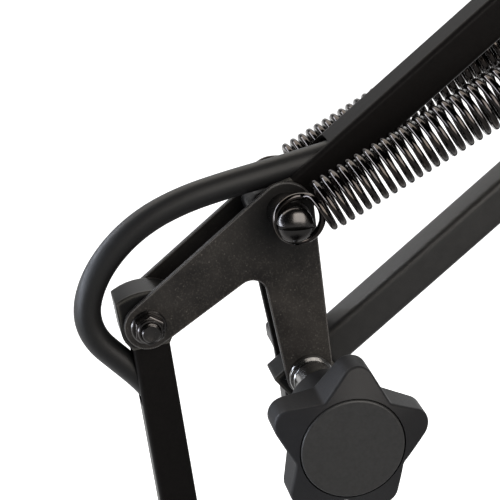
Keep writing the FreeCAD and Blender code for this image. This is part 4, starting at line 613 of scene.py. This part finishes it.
base_connector = dressed_connector("base_connector", "base_plug", "base_yoke", base_way[-1])
mic_connector = dressed_connector("mic_connector", "mic_socket", "head_yoke", mic_way[-1])
cable("elbow_cable_lower", loop_line[:middle + 1] + [seam], "cable_loop_lower")
cable("elbow_cable_upper", [seam] + loop_line[middle + 1:], "cable_loop_upper")
cable("base_cable", base_line, "base_tail")
cable("mic_cable", mic_line, "mic_tail")
for name, node, body, ends in (
        ("lower_lead", "base_lead", "lower_main_bar", (lower_inside[0], base_inside[0])),
        ("upper_lead", "mic_lead", "upper_top_bar", (upper_inside[0], mic_inside[0]))):
    lead = tube_along(name, ends, metres(CABLE_RADIUS), cable_pvc, CABLE_FINENESS)
    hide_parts(node)
    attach(lead, body)


# Springs: one wire each, with a hook loop, close curls and a second loop. Lengths are in millimetres.

# Thickness and fineness of the wire, length of its far end past the coil, radius of the stud under a hook.
WIRE, WIRE_FINENESS, FAR_LEAD, SEAT = 1.8, 4, 7.8, 3.5
# Angle in degrees at which the wire leaves its loop, turn at which the coil has its full radius, and the
# turn over which each end is drawn in, and by how much.
LOOP_END, COIL_START, DRAWN_TURN, DRAWN_IN = -300.0, math.pi / 4, math.pi, 0.8
HALF_TURN_STEPS, LOOP_STEPS, BEND_STEPS, BEND_PUSH = 12, 36, 8, 6.0
# Curls, far loop's distance, radii of loops and coil, the coil's sag and start, angle of the hook's tip.
UPPER_SPRING = {"curls": 30, "far": 89.3, "loop": 6.05, "coil": 6.2, "sag": 0.45, "lead": 7.0, "tip": 12.0}
LOWER_SPRING = {"curls": 20, "far": 66.55, "loop": 5.8, "coil": 5.7, "sag": 0.0, "lead": 7.8, "tip": -45.0}


def bend(near, far, leaving, arriving):
    """Points of a smooth bend between two points, from its directions there."""
    spots = []
    for k in range(1, BEND_STEPS):
        t = k / BEND_STEPS
        weights = (2 * t ** 3 - 3 * t ** 2 + 1, t ** 3 - 2 * t ** 2 + t,
                   3 * t ** 2 - 2 * t ** 3, t ** 3 - t ** 2)
        spots.append(tuple(sum(weight * value for weight, value in zip(weights, values))
                           for values in zip(near, leaving, far, arriving)))
    return spots


def spring_line(curls, far, loop, coil, sag, lead, tip):
    """Centre line of a spring along +X, its near loop round the origin and its far loop at far."""
    first = COIL_START - DRAWN_TURN
    last = 2 * curls * math.pi - first
    rise = (far - lead - FAR_LEAD) / (2 * curls * math.pi - 2 * COIL_START)
    steps = HALF_TURN_STEPS * (2 * curls + 2)
    curl_line = []
    for k in range(steps + 1):
        turn = first + (last - first) * k / steps
        to_end = min(turn - first, last - turn)
        radius = coil - DRAWN_IN * max(0.0, 1 - to_end / DRAWN_TURN)
        curl_line.append((lead + rise * (turn - COIL_START), radius * math.sin(turn),
                          -radius * math.cos(turn) - sag))
    angles = [math.radians(tip + (LOOP_END - tip) * k / LOOP_STEPS) for k in range(LOOP_STEPS + 1)]
    near_loop = [(loop * math.cos(a), 0.0, loop * math.sin(a)) for a in angles]
    far_loop = [(far - x, y, -z) for x, y, z in reversed(near_loop)]
    away = (BEND_PUSH * math.sin(angles[-1]), 0.0, -BEND_PUSH * math.cos(angles[-1]))
    lean = BEND_PUSH / math.sqrt(2)
    leave = bend(near_loop[-1], curl_line[0], away, (rise, -lean, -lean))
    enter = bend(curl_line[-1], far_loop[0], (rise, lean, -lean), away)
    return near_loop + leave + curl_line + enter + far_loop


def spring(name, node, sizes, stud, anchor, side, roll=0.0):
    """Spring on its stud, pulled towards its anchor and rolled about its line, and its coil's ends."""
    lean = heading(stud, anchor)
    slack = sizes["loop"] - WIRE / 2 - SEAT
    turn = Matrix.Rotation(-lean, 4, "Y") @ Matrix.Rotation(roll, 4, "X")
    start = place(stud[0] + slack * math.cos(lean), stud[1] + slack * math.sin(lean), side)
    line = [turn @ metres(Vector(point)) + start for point in spring_line(**sizes)]
    wire = tube_along(name, line, metres(WIRE / 2), spring_wire, WIRE_FINENESS)
    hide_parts(node)
    way = turn @ Vector((1, 0, 0))
    return wire, start + way * metres(sizes["lead"]), start + way * metres(sizes["far"] - FAR_LEAD)


# The front lower spring is rolled half a turn, so that its hook clears the base nuts.
for sign, end, roll in ((-1, "front", math.pi), (1, "rear", 0.0)):
    wire, near, far = spring(f"upper_spring_wire_{end}", f"upper_spring_{end}", UPPER_SPRING, ELBOW_APEX,
                             UPPER_ANCHOR, sign * SPRING_SIDE)
    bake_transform(wire)
    wire, near, far = spring(f"lower_spring_wire_{end}", f"lower_spring_{end}", LOWER_SPRING, BASE_STUD,
                             LOWER_ANCHOR, sign * SPRING_SIDE, roll)
    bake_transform(wire)


# Fastenings on the front plates: pressed washers, chamfered locking nuts and bolt ends with a centre mark.
# Their profiles are (radius, distance from the plate's face) in millimetres.

WASHER = ((2.2, 0.0), (4.6, 0.0), (4.7, 0.15), (4.7, 0.5), (4.4, 0.8), (2.2, 0.8))
LOCK_RING = ((2.4, 4.1), (3.35, 4.1), (3.35, 5.1), (3.1, 5.5), (2.75, 5.6), (2.4, 5.2))
BOLT_END = ((2.4, 5.2), (2.4, 5.8), (2.2, 6.0), (2.4, 6.2), (2.4, 6.6), (2.2, 6.8), (2.4, 7.0), (2.4, 7.4),
            (2.15, 7.75), (1.7, 7.75), (1.25, 7.45), (0.0, 7.45))
NUT_SIDES, NUT_CORNER, NUT_HEIGHT, NUT_START, NUT_EDGE = 6, 4.3, 3.4, 0.8, 0.45
# These nuts are thin ones: share of a usual nut's height that they have.
NUT_FLAT = 0.64

for name, node, body, nut_places, washer_places in (
        ("elbow_nut_set", "elbow_left_nut", "elbow", [ELBOW_LEFT], []),
        ("base_nut_set", "base_pivot_nuts", "base_yoke", [BASE_MAIN, BASE_SECOND], []),
        ("head_nut_set", "head_pivot_nuts", "head_yoke", [HEAD_TOP, HEAD_SECOND], [HEAD_EYE])):
    shape = bmesh.new()
    for spot in nut_places + washer_places:
        turned(shape, WASHER, place(*spot, -PLATE_FACE), closed=True)
    for spot in nut_places:
        nut = bmesh.new()
        bmesh.ops.create_cone(nut, cap_ends=True, segments=NUT_SIDES, radius1=metres(NUT_CORNER),
                              radius2=metres(NUT_CORNER), depth=metres(NUT_HEIGHT * NUT_FLAT),
                              matrix=Matrix.Rotation(math.pi / 2, 4, "X"))
        bmesh.ops.bevel(nut, geom=nut.edges[:], offset=metres(NUT_EDGE), segments=3, profile=0.5,
                        affect="EDGES", material=-1)
        taken(shape, nut, place(*spot, -PLATE_FACE - NUT_START - NUT_HEIGHT * NUT_FLAT / 2))
        turned(shape, LOCK_RING, place(*spot, -PLATE_FACE), finish=1, closed=True, flat=NUT_FLAT)
        turned(shape, BOLT_END, place(*spot, -PLATE_FACE), finish=1, flat=NUT_FLAT)
    dressed(name, shape, node, body, (black_zinc, bright_nickel))

# The pivot bolts: copies of their solids, with the ends drawn back into the thin nuts.
TIP_START, TIP_END = 13.9, 14.2
for name, node, body in (("elbow_bolts", "elbow_pivot_bolts", "elbow"),
                         ("base_bolts", "base_pivot_bolts", "base_yoke"),
                         ("head_bolts", "head_pivot_bolts", "head_yoke")):
    shape = copied(node)
    tips = [vertex for vertex in shape.verts if vertex.co.y * MM_IN_METRE < -TIP_START]
    bmesh.ops.translate(shape, verts=tips, vec=(0, metres((1 - NUT_FLAT) * (TIP_END - PLATE_FACE)), 0))
    dressed(name, shape, node, body, (black_zinc,), crease=25)

# The knob's collar: a bright rolled flange on a dark polished sleeve.
FLANGE = ((2.75, 0.0), (5.7, 0.0), (5.9, 0.2), (5.9, 1.4), (5.7, 1.7), (5.2, 1.7))
SLEEVE = ((5.2, 1.7), (5.2, 3.0), (5.02, 3.2), (5.02, 3.6), (5.2, 3.8), (5.2, 18.7), (5.0, 18.9),
          (2.75, 18.9))
shape = bmesh.new()
turned(shape, FLANGE, place(*ELBOW_KNOB, -PLATE_FACE), steps=96)
turned(shape, SLEEVE, place(*ELBOW_KNOB, -PLATE_FACE), finish=1, steps=96)
dressed("knob_collar", shape, "elbow_knob_collar", "elbow", (bright_nickel, black_mirror))

# Stud screws: domed heads parted by a slot, its floor black with painted shade.
HEAD_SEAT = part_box("elbow_spring_studs")[1].y * MM_IN_METRE
HEAD_RADIUS, HEAD_EDGE, HEAD_SIDE, HEAD_RISE = 4.7, 0.2, 0.7, 2.8
SLOT_HALF, SLOT_FLOOR, SHADE_INSET, SHADE_TAPER, SHADE_STEP = 0.5, 2.1, 0.3, 1.2, 0.5
DOME_STEPS = 12
slopes = [k * math.pi / (2 * DOME_STEPS) for k in range(DOME_STEPS)]
DOME = [(HEAD_RADIUS - HEAD_EDGE, 0.0), (HEAD_RADIUS, HEAD_EDGE)]
DOME += [(HEAD_RADIUS * math.cos(a), HEAD_SIDE + HEAD_RISE * math.sin(a)) for a in slopes]
DOME += [(0.0, HEAD_SIDE + HEAD_RISE)]
# A black body whose top is the slot's floor: painted shade.
SLOT_SHADE_DISC = ((HEAD_RADIUS - SHADE_INSET, SHADE_INSET), (HEAD_RADIUS - SHADE_INSET, SLOT_FLOOR - SHADE_STEP),
       (HEAD_RADIUS - SHADE_TAPER, SLOT_FLOOR), (0.0, SLOT_FLOOR))
front = bmesh.new()
for half in (-1, 1):
    head = bmesh.new()
    turned(head, DOME, ORIGIN, steps=64)
    cut_off(head, (0, 0, metres(half * SLOT_HALF)), (0, 0, half), clear_inner=True)
    taken(front, head, ORIGIN)
turned(front, SLOT_SHADE_DISC, ORIGIN, finish=1, steps=64)
rear = front.copy()
bmesh.ops.rotate(rear, verts=rear.verts, cent=ORIGIN, matrix=Matrix.Rotation(math.pi, 3, "Z"))
shape = bmesh.new()
for head, side in ((front, -HEAD_SEAT), (rear, HEAD_SEAT)):
    bmesh.ops.translate(head, verts=head.verts, vec=place(*ELBOW_APEX, side))
    joined(shape, head)
dressed("stud_screws", shape, "elbow_stud_screws", "elbow", (black_zinc, slot_shade_finish), crease=25)


# Threads of the clamp screw and the microphone stud, cut into copies of their solids down to the root.

THREAD_STEPS, THREAD_SINK, THREAD_MERGE, SHANK_PLAY = 28, 0.1, 1e-6, 0.05
CLAMP_THREAD = {"radius": 5.0, "root": 4.3, "pitch": 1.75, "low": -131.0, "high": -56.0}
MIC_THREAD = {"radius": 7.94, "root": 7.15, "pitch": 1.4, "low": 22.0, "high": 32.6}


def threaded(shape, axis, radius, root, pitch, low, high):
    """Draws a shank in to its root and winds a thread on it, between two heights in millimetres."""
    back = axis.inverted()
    for vertex in shape.verts:
        spot = back @ vertex.co * MM_IN_METRE
        if abs(spot.xy.length - radius) < SHANK_PLAY:
            vertex.co = axis @ metres(Vector((*(spot.xy.normalized() * root), spot.z)))
    part = bmesh.new()
    turns = math.ceil((high - low) / pitch) + 2
    spots = [part.verts.new((metres(r), 0, metres(low - pitch * (1 + h))))
             for r, h in ((root - THREAD_SINK, 0.5), (radius, 0.0), (root - THREAD_SINK, -0.5))]
    rims = [part.edges.new(pair) for pair in zip(spots, spots[1:])]
    bmesh.ops.spin(part, geom=spots + rims, cent=ORIGIN, axis=(0, 0, 1), angle=2 * math.pi * turns,
                   dvec=(0, 0, metres(pitch / THREAD_STEPS)), steps=THREAD_STEPS * turns)
    bmesh.ops.remove_doubles(part, verts=part.verts, dist=THREAD_MERGE)
    for height, side in ((low, -1), (high, 1)):
        cut_off(part, (0, 0, metres(height)), (0, 0, side), clear_outer=True)
    bmesh.ops.recalc_face_normals(part, faces=part.faces)
    bmesh.ops.transform(part, matrix=axis, verts=part.verts)
    taken(shape, part, ORIGIN)


shape = copied("clamp_screw")
threaded(shape, Matrix.Translation(place(pivot("screw_turn")[0], 0.0)), **CLAMP_THREAD)
dressed("clamp_screw_rod", shape, "clamp_screw", "screw", (black_zinc,))
shape = copied("mic_stud")
threaded(shape, Matrix.Translation(place(*HEAD_EYE)) @ Matrix.Rotation(math.pi / 4, 4, "Y"), **MIC_THREAD)
dressed("mic_thread", shape, "mic_stud", "mic_swivel", (bright_nickel,))


# Camera at the photograph's angle, soft studio light and a pale floor, in metres.

TARGET, TOWARDS, DISTANCE = Vector((-0.04704, 0.0, 0.47218)), Vector((-0.1916, -0.9163, 0.3518)), 0.443
LENS, SENSOR, NEAREST, FARTHEST = 122.5, 36.0, 0.01, 50.0
FLOOR_REACH, FLOOR_GAP = 30.0, 0.0005
BACKDROP = (-0.3, 0.95, 0.0)
WHITE = linear("#ffffff")

camera = bpy.data.objects.new("camera", bpy.data.cameras.new("camera"))
camera.data.lens = LENS
camera.data.sensor_width = SENSOR
camera.data.clip_start, camera.data.clip_end = NEAREST, FARTHEST
camera.location = TARGET + TOWARDS.normalized() * DISTANCE
camera.rotation_euler = (TARGET - camera.location).to_track_quat("-Z", "Y").to_euler()
bpy.context.scene.collection.objects.link(camera)
bpy.context.scene.camera = camera


def softbox(name, spot, along, size, power, colour):
    """Oblong lamp that faces the elbow, its length along a direction."""
    lamp = bpy.data.lights.new(name, "AREA")
    lamp.shape = "RECTANGLE"
    lamp.size, lamp.size_y = size
    lamp.energy = power
    lamp.color = linear(colour)[:3]
    back = (Vector(spot) - TARGET).normalized()
    across = back.cross(Vector(along)).normalized()
    turn = Matrix((across.cross(back), across, back)).transposed().to_4x4()
    holder = bpy.data.objects.new(name, lamp)
    holder.matrix_world = Matrix.Translation(spot) @ turn
    bpy.context.scene.collection.objects.link(holder)


softbox("overhead", (-0.25, 0.85, 1.5), (1, 0, 0), (2.0, 0.8), 11, "#fff8ee")
softbox("left", (-0.89, 0.17, 0.54), (0.2, 0.88, 0.43), (1.7, 0.2), 12, "#eaf1ff")
softbox("right", (0.36, -0.84, 1.0), (1, 0, 0), (1.0, 1.0), 11, "#fff9f2")

# World: even light; to the eye white; in reflections a white sweep behind the arm, darker in front,
# overhead and to the left.
world = bpy.data.worlds.new("studio")
bpy.context.scene.world = world
world.use_nodes = True
tree = world.node_tree
tree.nodes.clear()
seen = add(tree, "ShaderNodeLightPath", {})
direct = add(tree, "ShaderNodeMath",
             {0: seen.outputs["Is Camera Ray"], 1: seen.outputs["Is Transmission Ray"]}, operation="MAXIMUM")
way = add(tree, "ShaderNodeTexCoord", {}).outputs["Generated"]
behind = add(tree, "ShaderNodeVectorMath", {0: way, 1: BACKDROP}, operation="DOT_PRODUCT")
behind = add(tree, "ShaderNodeMapRange", {"Value": behind.outputs["Value"], "From Min": -0.1,
                                          "From Max": 0.4, "To Min": 0.04, "To Max": 1.0},
             interpolation_type="SMOOTHSTEP")
way = add(tree, "ShaderNodeSeparateXYZ", {"Vector": way})
under = add(tree, "ShaderNodeMapRange", {"Value": way.outputs["Z"], "From Min": 0.4, "From Max": 0.7,
                                         "To Min": 1.0, "To Max": 0.05}, interpolation_type="SMOOTHSTEP")
sweep = add(tree, "ShaderNodeMath", {0: behind.outputs["Result"], 1: under.outputs["Result"]},
            operation="MULTIPLY")
aside = add(tree, "ShaderNodeMapRange", {"Value": way.outputs["X"], "From Min": -0.45, "From Max": 0.05,
                                         "To Min": 0.2, "To Max": 1.0}, interpolation_type="SMOOTHSTEP")
sweep = add(tree, "ShaderNodeMath", {0: sweep.outputs["Value"], 1: aside.outputs["Result"]},
            operation="MULTIPLY")
glow = add(tree, "ShaderNodeBackground", {"Color": WHITE, "Strength": 0.35})
white = add(tree, "ShaderNodeBackground", {"Color": WHITE, "Strength": 1.0})
mirrored = add(tree, "ShaderNodeBackground", {"Color": WHITE, "Strength": sweep.outputs["Value"]})
both = add(tree, "ShaderNodeMixShader",
           {"Fac": seen.outputs["Is Glossy Ray"], 1: glow.outputs[0], 2: mirrored.outputs[0]})
both = add(tree, "ShaderNodeMixShader",
           {"Fac": direct.outputs["Value"], 1: both.outputs[0], 2: white.outputs[0]})
add(tree, "ShaderNodeOutputWorld", {"Surface": both.outputs[0]})

# Floor of pale matt card: it keeps the shadow round the arm's foot and further out glows white to the eye;
# in reflections it glows as a painted white sweep, brighter behind the arm.
floor_card, tree, spot = started("pale_card")
card = add(tree, "ShaderNodeBsdfDiffuse", {"Color": linear("#e8e8e8")})
seen = add(tree, "ShaderNodeLightPath", {})
reach = add(tree, "ShaderNodeVectorMath", {0: spot}, operation="LENGTH")
lift = add(tree, "ShaderNodeMapRange", {"Value": reach.outputs["Value"], "From Min": 0.25, "From Max": 0.7,
                                        "To Min": 0.0, "To Max": 1.0}, interpolation_type="SMOOTHSTEP")
lift = add(tree, "ShaderNodeMath", {0: lift.outputs["Result"], 1: seen.outputs["Is Camera Ray"]},
           operation="MULTIPLY")
lift = add(tree, "ShaderNodeEmission", {"Color": WHITE, "Strength": lift.outputs["Value"]})
total = add(tree, "ShaderNodeAddShader", {0: card.outputs[0], 1: lift.outputs[0]})
behind = add(tree, "ShaderNodeVectorMath", {0: spot, 1: BACKDROP}, operation="DOT_PRODUCT")
behind = add(tree, "ShaderNodeMapRange", {"Value": behind.outputs["Value"], "From Min": -0.4,
                                          "From Max": 0.3, "To Min": 0.25, "To Max": 0.9},
             interpolation_type="SMOOTHSTEP")
mirrored = add(tree, "ShaderNodeEmission", {"Color": WHITE, "Strength": behind.outputs["Result"]})
total = add(tree, "ShaderNodeMixShader",
            {"Fac": seen.outputs["Is Glossy Ray"], 1: total.outputs[0], 2: mirrored.outputs[0]})
add(tree, "ShaderNodeOutputMaterial", {"Surface": total.outputs[0]})
shape = bmesh.new()
bmesh.ops.create_grid(shape, x_segments=1, y_segments=1, size=FLOOR_REACH)
bmesh.ops.translate(shape, verts=shape.verts, vec=(0, 0, cad_box[0][2] - FLOOR_GAP))
card_mesh = bpy.data.meshes.new("floor")
shape.to_mesh(card_mesh)
shape.free()
floor = piece_from("floor", card_mesh, floor_card)

bpy.context.scene.view_settings.view_transform = "Standard"
